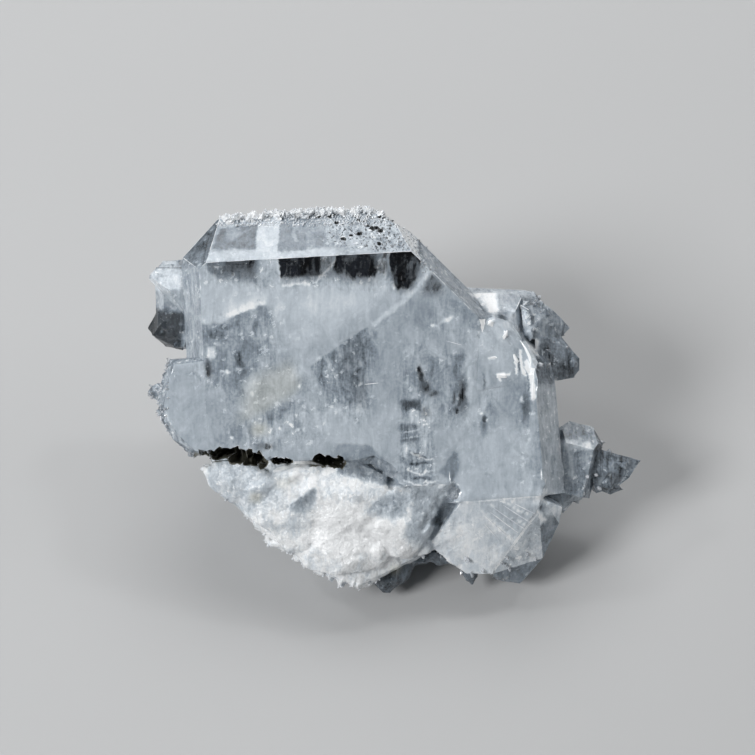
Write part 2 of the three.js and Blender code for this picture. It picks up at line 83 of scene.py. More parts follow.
@dataclass(frozen=True)
class PlateFrame:
    """The main plate's frame inside the row frame.

    Attributes:
        tilt: Angle of the plate from level, in degrees.
        origin: Where u = v = w = 0 lies in the row frame, in millimetres.
    """

    tilt: float = 35.5
    origin: Place = (-0.2957, -2.5616, 24.0)

    def turn(self) -> Matrix:
        """Gives the rotation from the plate's frame to the row frame."""
        return Matrix.Rotation(math.radians(self.tilt), 3, "X")

    def to_row(self, place: Sequence[float]) -> Vector:
        """Turns u, v, w in millimetres into a place in metres in the row frame."""
        return (self.turn() @ Vector(place) + Vector(self.origin)) * MM

    def direction(self, heading: Sequence[float]) -> Vector:
        """Turns a direction on the plate into a unit direction in the row frame."""
        return (self.turn() @ Vector(heading)).normalized()

    def from_row(self, points: np.ndarray) -> np.ndarray:
        """Turns rows of x, y, z in metres in the row frame into rows of u, v, w in millimetres."""
        return (points / MM - np.array(self.origin)) @ np.array(self.turn())


PLATE = PlateFrame()


# ---------------------------------------------------------------- shader wiring


class Value:
    """A number or a vector from one socket, with arithmetic that adds Math nodes."""

    def __init__(self, wiring: "Wiring", socket: bpy.types.NodeSocket) -> None:
        """Wraps a socket of a node tree."""
        self.wiring = wiring
        self.socket = socket

    def __add__(self, other: "Operand") -> "Value":
        """Adds."""
        return self.wiring.math("ADD", self, other)

    def __radd__(self, other: "Operand") -> "Value":
        """Adds, from the right."""
        return self.wiring.math("ADD", other, self)

    def __sub__(self, other: "Operand") -> "Value":
        """Subtracts."""
        return self.wiring.math("SUBTRACT", self, other)

    def __rsub__(self, other: "Operand") -> "Value":
        """Subtracts, from the right."""
        return self.wiring.math("SUBTRACT", other, self)

    def __mul__(self, other: "Operand") -> "Value":
        """Multiplies."""
        return self.wiring.math("MULTIPLY", self, other)

    def __rmul__(self, other: "Operand") -> "Value":
        """Multiplies, from the right."""
        return self.wiring.math("MULTIPLY", other, self)

    def larger(self, other: "Operand") -> "Value":
        """Takes the larger of two values."""
        return self.wiring.math("MAXIMUM", self, other)

    def clamped(self) -> "Value":
        """Keeps the value between 0 and 1."""
        return Value(self.wiring, self.wiring.add("ShaderNodeClamp", sockets={"Value": self}).outputs[0])

    def rise(self, start: float, end: float) -> "Value":
        """Gives a smooth step.

        Args:
            start: The value where the step is 0.
            end: The value where it is 1. It may be below start.

        Returns:
            A value between 0 and 1.
        """
        sockets = {"Value": self, "From Min": start, "From Max": end}
        node = self.wiring.add("ShaderNodeMapRange", {"interpolation_type": "SMOOTHSTEP"}, sockets)
        return Value(self.wiring, node.outputs[0])


Operand = Union[Value, float]


class Wiring:
    """The node tree of one material, built by name."""

    def __init__(self, name: str) -> None:
        """Makes a material of that name with an empty node tree."""
        self.material = bpy.data.materials.new(name)
        self.material.use_nodes = True
        self.tree = self.material.node_tree
        self.tree.nodes.clear()

    def add(
        self,
        kind: str,
        settings: Mapping[str, Any] | None = None,
        sockets: Mapping[Union[str, int], Any] | None = None,
    ) -> bpy.types.Node:
        """Adds one node.

        Args:
            kind: The node's type.
            settings: Its properties, which are set first. `stops` are a ramp's position and colour pairs.
            sockets: What goes into its inputs, by name or number: a Value, a node's first output or a
                constant.

        Returns:
            The node.
        """
        node = self.tree.nodes.new(kind)
        for name, setting in (settings or {}).items():
            if name == "stops":
                self._set_stops(node, setting)
            else:
                setattr(node, name, setting)
        for name, given in (sockets or {}).items():
            if isinstance(given, Value):
                self.tree.links.new(given.socket, node.inputs[name])
            elif isinstance(given, bpy.types.Node):
                self.tree.links.new(given.outputs[0], node.inputs[name])
            else:
                node.inputs[name].default_value = given
        return node

    @staticmethod
    def _set_stops(node: bpy.types.Node, stops: Sequence[tuple[float, Colour]]) -> None:
        """Gives a ramp its colours.

        Args:
            node: The ramp.
            stops: Its positions and colours, from low to high.
        """
        elements = node.color_ramp.elements
        while len(elements) < len(stops):
            elements.new(1.0)
        for element, (position, colour) in zip(elements, stops):
            element.position = position
            element.color = (*colour, 1.0)

    def math(self, operation: str, first: Operand, second: Operand) -> Value:
        """Adds a Math node.

        Args:
            operation: What the node does.
            first: Its first input.
            second: Its second input.

        Returns:
            The result.
        """
        node = self.add("ShaderNodeMath", {"operation": operation}, {0: first, 1: second})
        return Value(self, node.outputs[0])

    def vector(self, operation: str, first: Value, second: Union[Value, Place]) -> Value:
        """Adds a Vector Math node.

        Args:
            operation: What the node does.
            first: Its first vector.
            second: Its second vector.

        Returns:
            The resulting vector, or the number where the operation gives one.
        """
        node = self.add("ShaderNodeVectorMath", {"operation": operation}, {0: first, 1: second})
        return Value(self, node.outputs["Value" if operation == "DOT_PRODUCT" else "Vector"])

    def noise(
        self, place: Value, scale: float, detail: float, roughness: float = 0.55, swirl: float = 0.0
    ) -> Value:
        """Adds fractal noise.

        Args:
            place: Where it is read.
            scale: Clouds per unit.
            detail: How many finer octaves it has.
            roughness: How strong those are.
            swirl: How far the noise bends itself.

        Returns:
            A value around 0.5.
        """
        sockets = {"Vector": place, "Scale": scale, "Detail": detail}
        sockets.update({"Roughness": roughness, "Distortion": swirl})
        return Value(self, self.add("ShaderNodeTexNoise", sockets=sockets).outputs[0])

    def blend(self, share: Operand, first: Union[Value, Colour], second: Union[Value, Colour]) -> Value:
        """Mixes two colours.

        Args:
            share: How much of the second is taken.
            first: A Value or an RGB colour.
            second: A Value or an RGB colour.

        Returns:
            The mixed colour.
        """
        pair = [given if isinstance(given, Value) else (*given, 1.0) for given in (first, second)]
        node = self.add("ShaderNodeMix", {"data_type": "RGBA"}, {0: share, 6: pair[0], 7: pair[1]})
        return Value(self, node.outputs[2])

    def plate_place(self) -> Value:
        """Gives the shaded point's u, v, w in millimetres."""
        coordinates = self.add("ShaderNodeTexCoord")
        sockets = {
            "Vector": Value(self, coordinates.outputs["Object"]),
            "Location": tuple(-(PLATE.turn().transposed() @ Vector(PLATE.origin))),
            "Rotation": (-math.radians(PLATE.tilt), 0.0, 0.0),
            "Scale": (1 / MM, 1 / MM, 1 / MM),
        }
        return Value(self, self.add("ShaderNodeMapping", sockets=sockets).outputs["Vector"])

    def attribute(self, name: str) -> tuple[Value, Value, Value]:
        """Reads the three numbers that a mesh attribute stores."""
        node = self.add("ShaderNodeAttribute", {"attribute_name": name})
        return self.split(Value(self, node.outputs["Vector"]))

    def split(self, vector: Value) -> tuple[Value, Value, Value]:
        """Takes a vector apart into three numbers."""
        node = self.add("ShaderNodeSeparateXYZ", sockets={0: vector})
        return Value(self, node.outputs[0]), Value(self, node.outputs[1]), Value(self, node.outputs[2])

    def bump(self, strength: float, height: Value) -> bpy.types.Node:
        """Adds relief whose height is in millimetres."""
        return self.add("ShaderNodeBump", sockets={"Strength": strength, "Distance": MM, "Height": height})

    def body(self, sockets: Mapping[str, Any]) -> bpy.types.Node:
        """Adds a Principled BSDF."""
        return self.add("ShaderNodeBsdfPrincipled", sockets=sockets)

    def finish(self, surface: bpy.types.Node, volume: bpy.types.Node | None = None) -> bpy.types.Material:
        """Joins the shaders to the output.

        Args:
            surface: The surface shader.
            volume: The volume shader, where there is one.

        Returns:
            The finished material.
        """
        sockets = {"Surface": surface} if volume is None else {"Surface": surface, "Volume": volume}
        self.add("ShaderNodeOutputMaterial", sockets=sockets)
        return self.material


# ---------------------------------------------------------------- mesh helpers


def packed_mesh(node: bpy.types.Object) -> bmesh.types.BMesh:
    """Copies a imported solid's mesh, with its corners welded."""
    mesh = bmesh.new()
    mesh.from_mesh(node.data)
    bmesh.ops.remove_doubles(mesh, verts=mesh.verts, dist=WELD)
    return mesh


def keep_inside(point: Vector, low: Vector, high: Vector) -> None:
    """Moves a point into a box, where it stands outside.

    Args:
        point: The point, which is changed.
        low: The box's lowest corner.
        high: The box's highest corner.
    """
    for axis in range(3):
        point[axis] = min(max(point[axis], low[axis]), high[axis])


def add_piece(name: str, data: bpy.types.Mesh, material: bpy.types.Material) -> bpy.types.Object:
    """Puts a dressed mesh into the scene.

    Args:
        name: The piece's name.
        data: Its mesh.
        material: What it is made of.

    Returns:
        The piece.
    """
    data.materials.append(material)
    piece = bpy.data.objects.new(name, data)
    bpy.context.scene.collection.objects.link(piece)
    return piece


@dataclass
class Shell:
    """A mesh that grows corner by corner.

    Attributes:
        corners: Its corners in metres.
        faces: The numbers of each face's corners.
    """

    corners: list[Vector] = field(default_factory=list)
    faces: list[tuple[int, ...]] = field(default_factory=list)

    def add_ring(self, middle: Vector, rise: Vector, across: Vector, flat: float) -> int:
        """Adds the four corners of a thin ridge's section.

        Args:
            middle: The section's middle.
            rise: Outward, as long as the section reaches in.
            across: From the middle to a side corner.
            flat: How far the section stands out, as a share of how far it reaches in.

        Returns:
            The number of the first of them.
        """
        self.corners += [middle + rise * flat, middle + across, middle - rise, middle - across]
        return len(self.corners) - 4

    def close_ridge(self, rings: list[int]) -> None:
        """Joins a ridge's sections and closes its ends.

        Args:
            rings: The number of each section's first corner.
        """
        if len(rings) < 2:
            return
        for first, second in zip(rings, rings[1:]):
            for i in range(4):
                following = (i + 1) % 4
                self.faces.append((first + i, first + following, second + following, second + i))
        self.faces.append(tuple(rings[0] + i for i in reversed(range(4))))
        self.faces.append(tuple(rings[-1] + i for i in range(4)))

    def piece(self, name: str, material: bpy.types.Material) -> bpy.types.Object:
        """Puts the mesh into the scene.

        Args:
            name: The piece's name.
            material: What it is made of.

        Returns:
            The piece.
        """
        data = bpy.data.meshes.new(name)
        data.from_pydata(self.corners, [], self.faces)
        return add_piece(name, data, material)


# ---------------------------------------------------------------- paint on the plate


def smooth(values: np.ndarray, start: float, end: float) -> np.ndarray:
    """Gives a smooth step.

    Args:
        values: Any numbers.
        start: The value where the step is 0.
        end: The value where it is 1. It may be below start.

    Returns:
        Numbers between 0 and 1.
    """
    share = np.clip((values - start) / (end - start), 0.0, 1.0)
    return share * share * (3 - 2 * share)


@dataclass(frozen=True)
class Cloud:
    """A stretch of fog, or of clear quartz, with straight sides that turn left all the way round.

    Attributes:
        level: How milky or how clear it is.
        corners: Each corner's u and v, and how soft the side is that starts there, in millimetres.
        cover: How much of what lies under it it hides.
    """

    level: float
    corners: tuple[tuple[float, float, float], ...]
    cover: float = 1.0

    def mask(self, u: np.ndarray, v: np.ndarray) -> np.ndarray:
        """Gives how much the cloud covers each place."""
        share = np.full_like(u, self.cover)
        for (u0, v0, soft), (u1, v1, _) in zip(self.corners, self.corners[1:] + self.corners[:1]):
            run, lift = u1 - u0, v1 - v0
            inside = (run * (v - v0) - lift * (u - u0)) / math.hypot(run, lift)
            share = share * smooth(inside, -soft / 2, soft / 2)
        return share


@dataclass(frozen=True)
class Spot:
    """A soft oval.

    Attributes:
        level: How milky or how clear it is.
        at: Its middle, u and v.
        reach: Half its size along and across.
        lean: How far it is turned, in degrees.
        soft: How wide its edge is, as a share of its reach.
        cover: How much of what lies under it it hides.
    """

    level: float
    at: tuple[float, float]
    reach: tuple[float, float]
    lean: float = 0.0
    soft: float = 0.8
    cover: float = 1.0

    def mask(self, u: np.ndarray, v: np.ndarray) -> np.ndarray:
        """Gives how much the spot covers each place."""
        cosine, sine = math.cos(math.radians(self.lean)), math.sin(math.radians(self.lean))
        across, up = u - self.at[0], v - self.at[1]
        along = (across * cosine + up * sine) / self.reach[0]
        over = (up * cosine - across * sine) / self.reach[1]
        return smooth(np.hypot(along, over), 1.0 + self.soft / 2, 1.0 - self.soft / 2) * self.cover


@dataclass(frozen=True)
class Streak:
    """A band along a line.

    Attributes:
        level: How milky or how clear it is.
        points: The line's corners, u and v.
        width: Half the band's width, in millimetres.
        cover: How much of what lies under it it hides.
    """

    level: float
    points: tuple[tuple[float, float], ...]
    width: float
    cover: float = 1.0

    def mask(self, u: np.ndarray, v: np.ndarray) -> np.ndarray:
        """Gives how much the band covers each place."""
        nearest = np.full_like(u, 1e3)
        for (u0, v0), (u1, v1) in zip(self.points, self.points[1:]):
            run, lift = u1 - u0, v1 - v0
            share = np.clip(((u - u0) * run + (v - v0) * lift) / (run * run + lift * lift), 0.0, 1.0)
            nearest = np.minimum(nearest, np.hypot(u - u0 - share * run, v - v0 - share * lift))
        return smooth(nearest, self.width * 1.5, self.width * 0.5) * self.cover


Mark = Union[Cloud, Spot, Streak]


def painted(
    base: Union[float, np.ndarray], marks: Sequence[Mark], u: np.ndarray, v: np.ndarray
) -> np.ndarray:
    """Lays marks over one another.

    Args:
        base: The level under them all.
        marks: The marks, from the lowest to the topmost.
        u: Places across the plate.
        v: Places up the plate.

    Returns:
        The level at each place.
    """
    level = np.zeros_like(u) + base
    for mark in marks:
        level = level + (mark.level - level) * mark.mask(u, v)
    return level


class Zone(Enum):
    """The kinds of surface on the cluster."""

    SIDE = 0
    BROAD = 1
    END = 2
    PIT = 3
    CREST = 4
    CREVICE = 5
    FOOT = 6
    STRIP = 7
    MASS = 8
    UNDER = 9
    STEP = 10
    RIM = 11
    BACK = 12
    GLINT = 13


@dataclass(frozen=True)
class Look:
    """What a stretch of surface looks like.

    Attributes:
        milk: How milky, from grey to white.
        clear: How see-through.
        rough: How much small relief it has.
        dark: How deep in shade it lies.
        busy: How strongly threads, flecks and flaws show in it. Over 1 the surface is pitted too.
    """

    milk: np.ndarray
    clear: np.ndarray
    rough: np.ndarray
    dark: np.ndarray
    busy: np.ndarray


@dataclass(frozen=True)
class Ground:
    """The look of one kind of surface under its marks.

    Attributes:
        milk: How milky it is.
        clear: How see-through.
        rough: How much small relief it has.
        busy: How strongly threads, flecks and flaws show in it.
        dark: How deep in shade it lies.
        milk_tone: How much the milkiness under the marks differs from one crystal face to another.
        over_tone: How much the milkiness over the marks does.
        clear_tone: How much the clearness under the marks does.
        flaw_relief: How much relief the marks' busyness adds.
    """

    milk: float
    clear: float = 0.0
    rough: float = 0.5
    busy: float = 0.5
    dark: float = 0.0
    milk_tone: float = 0.0
    over_tone: float = 0.0
    clear_tone: float = 0.0
    flaw_relief: float = 0.0


@dataclass(frozen=True)
class PlatePaint:
    """Where the quartz is milky, where it is clear and where iron stains it.

    Attributes:
        grounds: What each kind of surface looks like under its marks.
        crevice_lip: The w where the crevice's lips end, and the w where its shade is deepest.
        crevice_shade: How much less milky the crevice is below its lips: painted shade that deepens inwards.
        crevice_olive: How strongly an olive tint colours it there, deeper in and where it is least milky.
        fog: Milkiness of the broad faces, with painted glints among its marks.
        windows: Clearness of the broad faces.
        flaws: Busyness of the broad faces.
        end_fog: Milkiness of the bright end face.
        end_flaws: Busyness of the bright end face.
        mass_fog: Milkiness of the broken mass.
        mass_clear: Clearness of the broken mass.
        foot_fog: Milkiness of the right plate's foot; its bright streaks are painted highlights along the
            striations.
        side_fog: Milkiness of the crystals around the plates, raised in some shaded gaps as painted light.
        side_clear: Clearness of those crystals, lowered in those gaps.
        side_flaws: Busyness of those crystals.
        glint_fog: Milkiness of the bright chips, which are painted glints.
        crevice_fog: Milkiness of the crevice's lips.
        warm: Where iron stains the quartz.
        warm_depth: Iron stains nothing below this w.
    """

    grounds: Mapping[Zone, Ground] = field(
        default_factory=lambda: {
            Zone.SIDE: Ground(0.26, 0.34, 0.22, 0.7, 0.0, 0.5, 0.22, -0.3, flaw_relief=0.9),
            Zone.BROAD: Ground(0.42, 0.05, 0.04, 0.2),
            Zone.END: Ground(0.37, 0.03, 0.5, 0.3),
            # The etched pits are painted dark: painted shade.
            Zone.PIT: Ground(-0.1, 0.2, 0.6, dark=0.7),
            Zone.CREST: Ground(0.925, rough=1.0, milk_tone=0.25),
            Zone.CREVICE: Ground(0.2, busy=0.0),
            Zone.FOOT: Ground(0.70, 0.04, 0.25, 0.4),
            Zone.STRIP: Ground(0.64, 0.14, 0.35, 0.8),
            Zone.MASS: Ground(0.90, 0.03, 0.8, milk_tone=0.2),
            Zone.UNDER: Ground(0.1, 0.32, 0.3, 0.6, milk_tone=0.2, clear_tone=-0.2),
            Zone.STEP: Ground(0.46, 0.06, 0.1, 0.3),
            Zone.RIM: Ground(0.24, 0.23, 0.5, 0.9, milk_tone=0.4, clear_tone=-0.3),
            Zone.BACK: Ground(0.50, 0.20, 0.3, 0.6, milk_tone=0.6, clear_tone=-0.36),
            # The small chips on the slope are painted near white: painted glints.
            Zone.GLINT: Ground(1.05, 0.0, 0.2, 0.2, over_tone=0.2),
        }
    )
    crevice_lip: Spread = (-0.1, -1.0)
    crevice_shade: float = 0.4
    crevice_olive: float = 0.25
    fog: tuple[Mark, ...] = (
        # left half
        Cloud(0.56, ((-30, 10.4, 1), (-24.2, 10.2, 0.5), (-18, 13.3, 0.6), (-17, 17, 2), (-30, 17.5, 2))),
        Cloud(0.56, ((-18, 10.5, 3), (-11.6, 4.5, 0.4), (-3.4, 9.9, 0.3), (0.4, 13.4, 1), (0.4, 16.4, 2),
                     (-18, 16.4, 2))),
        Cloud(0.46, ((-12.4, 7.4, 3), (-11.6, 4.5, 0.3), (-3.4, 9.9, 0.25), (0.2, 13.2, 0.9), (-1, 14.6, 3))),
        Cloud(0.2, ((-26, 18, 0.8), (-24.4, 16.9, 1.4), (-19, 16.1, 0.6), (-19, 20.4, 0.4),
                    (-26.1, 20.4, 0.5))),
        Spot(0.68, (-8, 13.4), (5, 1.8), lean=4, soft=1.4, cover=0.8),
        Cloud(0.26, ((-28.4, 6, 2), (-23, 6, 2.5), (-23.6, 10.5, 0.5), (-28.4, 10.1, 1.2))),
        Cloud(0.26, ((-26.4, 5, 2.4), (-24.6, 1.2, 3), (-21, 0.4, 3), (-18.4, 4, 3), (-16.2, 9, 2),
                     (-17.2, 12.8, 0.9), (-18.4, 13.3, 0.3), (-24, 10.5, 0.4))),
        Cloud(0.78, ((-23.9, 10.9, 0.3), (-20.8, 12, 0.3), (-17.6, 13.2, 0.5), (-17.4, 14.4, 2.4),
                     (-20.4, 14.2, 2.4), (-23.6, 12.4, 2))),
        Streak(0.98, ((-22.9, 11.7), (-21.4, 12.3), (-19.6, 13)), 0.34, cover=0.85),
        Spot(1.05, (-20.9, 12.4), (0.5, 0.3), lean=24),
        Spot(0.5, (-18.6, 13.5), (0.2, 0.14)),
        Spot(1, (-18.2, 13.3), (0.24, 0.16)),
        Spot(0, (-24.6, 8.8), (1.1, 0.7)),
        Spot(0, (-23.3, 10), (0.9, 0.45)),
        Spot(0, (-19, 9.8), (0.4, 1.2)),
        Spot(0, (-21.4, 5.4), (0.5, 1.6), lean=20),
        Spot(0.42, (-18, 9.2), (0.8, 2.4), soft=1.2),
        Spot(0.46, (-16.4, 8.2), (0.7, 2), lean=8, soft=1.2),
        Spot(0.82, (-25.3, 6.3), (0.75, 0.9), lean=-10, soft=0.7),
        Spot(0.86, (-23.2, 3.7), (0.8, 0.22), lean=-10, soft=0.9, cover=0.9),
        Spot(0.76, (-21.4, 4), (0.6, 0.2), soft=0.9, cover=0.7),
        Cloud(0.39, ((-30, -8, 2), (-21, -6, 3), (-21, 0.5, 3), (-30, 2.5, 3))),
        Spot(0.43, (-27.6, -4), (2, 3), lean=20, soft=1.4, cover=0.8),
        Cloud(0.39, ((-21.6, -3.2, 1.2), (-20.2, -2.9, 0.35), (-16.4, -1, 0.35), (-12.6, 1.6, 0.5),
                     (-11.8, 4.2, 1.4), (-15.6, 6, 3), (-20.4, 2.4, 2.2))),
        Spot(0.62, (-19.6, 1.2), (0.7, 1.8), lean=-16, soft=1.2, cover=0.8),
        Spot(0.6, (-13.6, 3.4), (1.6, 0.8), lean=32, soft=1.2, cover=0.8),
        Cloud(0.41, ((-20.4, -6.2, 2), (-18.6, -7.4, 1.4), (-12, -5.6, 3), (-12.4, -2.6, 2), (-15, -1.1, 0.6),
                     (-17.6, -1.5, 0.3), (-20.3, -3, 0.3))),
        Cloud(0.34, ((-24.2, -7, 1.6), (-19.6, -6.6, 1.6), (-20.4, -3.4, 0.8), (-23.8, -4.8, 1))),
        Spot(0.12, (-16.4, -2.4), (1.2, 0.7), lean=20, soft=1.2),
        # Small bright spots: painted glints.
        Spot(0.95, (-22.5, -5.5), (0.32, 0.24)),
        Spot(0.9, (-15.7, -4.3), (0.25, 0.22)),
        Spot(0.95, (-14.1, -3.8), (0.16, 0.28)),
        Spot(0.85, (-13.2, -4.5), (0.3, 0.25)),
        Spot(0.9, (-12.3, -4.4), (0.25, 0.25)),
        Spot(0.85, (-19.6, 0.6), (0.3, 0.45), lean=30),
        Spot(0.9, (-13, 1.5), (0.25, 0.2)),
        Spot(0.8, (-10.1, 5.3), (0.6, 0.35), lean=-30),
        # middle
        Spot(0.36, (-1, 4), (2.6, 7), soft=1.4),
        Cloud(0.19, ((-11.4, 4.4, 0.5), (-9.6, 0.4, 3), (-7, -2.4, 4), (-4, -3, 4), (-2.2, 3, 2.4),
                     (-2.6, 9.9, 1.2), (-3.4, 10.1, 0.25))),
        Spot(0.34, (-9, 4.2), (0.9, 1.8), lean=30, soft=1.3, cover=0.8),
        Cloud(0.5, ((-12, -7, 2), (0, -6.8, 2), (0.6, -1, 4), (-3, -0.6, 4), (-12, 0, 4))),
        Cloud(0.22, ((-8.4, -9, 0.6), (-3, -9.6, 0.6), (-1.2, -8.6, 0.5), (-3.2, -6.5, 0.4),
                     (-8.2, -6.6, 1))),
        Cloud(0.34, ((1, 9, 4), (13, 9, 3), (13, 12, 2), (5, 16, 2), (1, 13, 3))),
        Spot(0.44, (9, 9.4), (3.4, 1.6), lean=-20, soft=1.4, cover=0.8),
        Spot(0.28, (4.4, 12.6), (1.6, 1.4), soft=1.4, cover=0.8),
        Cloud(0.33, ((2, -1, 2.5), (7.6, -2, 2.5), (7, 6, 3), (3.6, 6, 3), (1.4, 3, 2.5))),
        Spot(0.16, (6.2, 2.6), (1, 3), lean=6, soft=1.4, cover=0.6),
        Cloud(0.2, ((8, -3, 2), (10, -3, 1.4), (10.9, -1, 0.6), (10.8, 3, 0.3), (10.3, 6.2, 0.5),
                    (8.2, 6, 2))),
        Streak(0.5, ((10.6, 6.3), (11, 3), (11, -0.4)), 0.45),
        Streak(0.56, ((13.4, 5), (13.5, 1.4)), 0.24, cover=0.7),
        Streak(0.1, ((12.9, 3.4), (12.9, 1.2)), 0.16, cover=0.8),
        Streak(0.66, ((-2.4, 10.5), (1.6, 13.6), (4, 16), (5.4, 17.9)), 0.34, cover=0.8),
        Spot(0.8, (7.7, 10.9), (0.9, 0.35), lean=24),
        Spot(0.76, (5.9, 10.2), (0.5, 0.18)),
        Spot(0.72, (2.2, 14.5), (1.1, 0.4), lean=20, cover=0.7),
        Spot(0.66, (-5.6, 15.6), (1.4, 0.4), lean=10, cover=0.6),
        Cloud(0, ((1.3, -1.7, 0.5), (3.9, -1.9, 0.2), (3.9, 0, 0.6), (1.2, -0.3, 0.6))),
        Cloud(0.56, ((2.3, -3.3, 0.4), (3.7, -3.5, 0.4), (3.8, -1.9, 0.3), (2.3, -1.8, 0.3))),
        Cloud(0.2, ((1.2, -6.2, 0.6), (3.9, -6.1, 0.5), (3.9, -3.7, 0.4), (1.2, -3.6, 0.5))),
        # The bright streaks and spots down the column are painted glints on its steps.
        Streak(0.62, ((1.5, -4.9), (3.9, -4.5)), 0.12),
        Streak(0.54, ((1.5, -5.6), (3.7, -5.4)), 0.1),
        Spot(0.95, (4.9, -3.6), (0.45, 0.16), lean=12),
        Cloud(0.34, ((1, -11.6, 1), (6.4, -12, 1), (6.2, -6.6, 0.8), (1.2, -6.4, 0.8))),
        Spot(0.8, (1.9, -7.4), (0.3, 1.1), lean=6),
        Spot(0, (3.7, -8.1), (1.1, 0.28), lean=-24),
        Streak(0.85, ((2.6, -7.6), (4.6, -8.7), (5.8, -8.6)), 0.12),
        Streak(0, ((2.4, -9.2), (5.6, -9.2)), 0.16),
        Streak(0.8, ((2, -10), (4, -10.8), (6, -10.3)), 0.13),
        Streak(0, ((3.2, -11.2), (5.4, -11.4)), 0.2),
        Streak(0.85, ((1.6, -11.6), (4.2, -12.3), (6.4, -11.6)), 0.12),
        # right
        Streak(0.43, ((15.8, 2.4), (12.8, -0.9), (9.4, -4.6), (7.2, -7.8), (6.6, -10)), 1.5, cover=0.7),
        Streak(0.48, ((15.2, 2), (12.4, -1.3), (9.2, -4.8), (7, -8)), 0.45, cover=0.7),
        Cloud(0.34, ((10.8, -4.4, 0.8), (12.6, -6, 3), (20, -5, 3), (20.4, 2.8, 1), (16.2, 2.4, 0.8))),
        Cloud(0.46, ((9.6, -6.8, 0.8), (9.6, -15, 1), (24, -15, 1), (21, -4, 4), (12, -3.6, 3))),
        Spot(0.3, (15.6, 0.4), (1.6, 2.6), soft=1.4, cover=0.8),
        Cloud(0.14, ((6.5, -10.6, 0.5), (8.6, -11.8, 1), (9.5, -10, 1), (8.9, -7.2, 0.4))),
        # The small bright spots among these are painted glints.
        Spot(0.95, (12.6, -2.1), (0.3, 0.25)),
        Spot(0, (12.9, -2.8), (0.35, 0.5)),
        Spot(0.95, (13.3, -3), (0.18, 0.22)),
        Spot(0.12, (12.8, -4.4), (0.5, 1.2), soft=1.2, cover=0.6),
        Spot(0.06, (18.7, -1.2), (0.7, 2.1), soft=1.1),
        Spot(0.85, (18.2, -0.2), (0.2, 0.5)),
        Spot(0.8, (19.6, -2.2), (0.4, 0.18)),
        Cloud(0.24, ((20.2, -13, 1.2), (22.4, -13, 1), (21.8, 3, 1), (19.8, 3, 1.2)), cover=0.7),
        Streak(0.54, ((8, -12.6), (14, -13.3), (20.4, -12.8)), 0.6, cover=0.6),
        # the slope on the upper right
        Spot(0.54, (14.6, 7.4), (2.6, 3), soft=1.4, cover=0.8),
        Spot(0.62, (17, 10.8), (2.4, 1.6), soft=1.5),
        Cloud(0.3, ((16.6, 2.6, 0.3), (18, 2.2, 0.3), (18.3, 6.2, 0.4), (17.2, 7.4, 0.4))),
        # The bright streaks and spots on the slope are painted glints: along the blade, and small bright bars
        # and points.
        Streak(1.1, ((17.9, 6.6), (18.1, 4.6), (18.6, 3.4)), 0.22),
        Streak(1.1, ((18.9, 5), (19.4, 3.2), (19.75, 1.4), (19.8, -0.1)), 0.34),
        Streak(1, ((17.2, 5.2), (17.4, 3.6)), 0.2),
        Streak(-0.1, ((17.7, 5.6), (17.8, 4)), 0.12),
        Streak(1.1, ((14.8, 3.2), (16.4, 3.4)), 0.2),
        Streak(0.95, ((15, 3), (15.2, 2.6)), 0.2),
        Spot(1, (14, 5.6), (0.4, 0.2)),
        Spot(0.9, (15.8, 8.8), (0.22, 0.55), lean=-25),
        Streak(-0.1, ((18.9, 3.6), (19.3, 0.8)), 0.14, cover=0.7),
        Streak(0.2, ((21, 3.4), (21.2, 0.4)), 0.2, cover=0.7),
        # the column between the windows, and beside them
        Cloud(0.48, ((-18.6, 15.4, 2), (-15.8, 15.4, 2), (-15.8, 20.4, 0.4), (-18.9, 20.4, 0.4))),
        Streak(0.86, ((-7.9, 19.6), (-9.2, 17.8), (-10.6, 16.2)), 0.16),
        Streak(0.62, ((-1.2, 20.4), (-1.1, 17)), 0.2),
        Streak(0.86, ((-15.2, 15.8), (-13.4, 16), (-11.6, 15.9)), 0.2),
        # The bright spots below are painted glints and highlights.
        Spot(0.92, (-27.1, 17), (0.25, 0.5)),
        Spot(0.92, (-27, 15.4), (0.25, 0.4)),
        Spot(0.92, (0.2, 15.6), (0.2, 0.5)),
        Spot(0.8, (-23.8, 19.4), (0.9, 0.16)),
        Spot(0.8, (-24.6, 18.3), (0.7, 0.12)),
    )
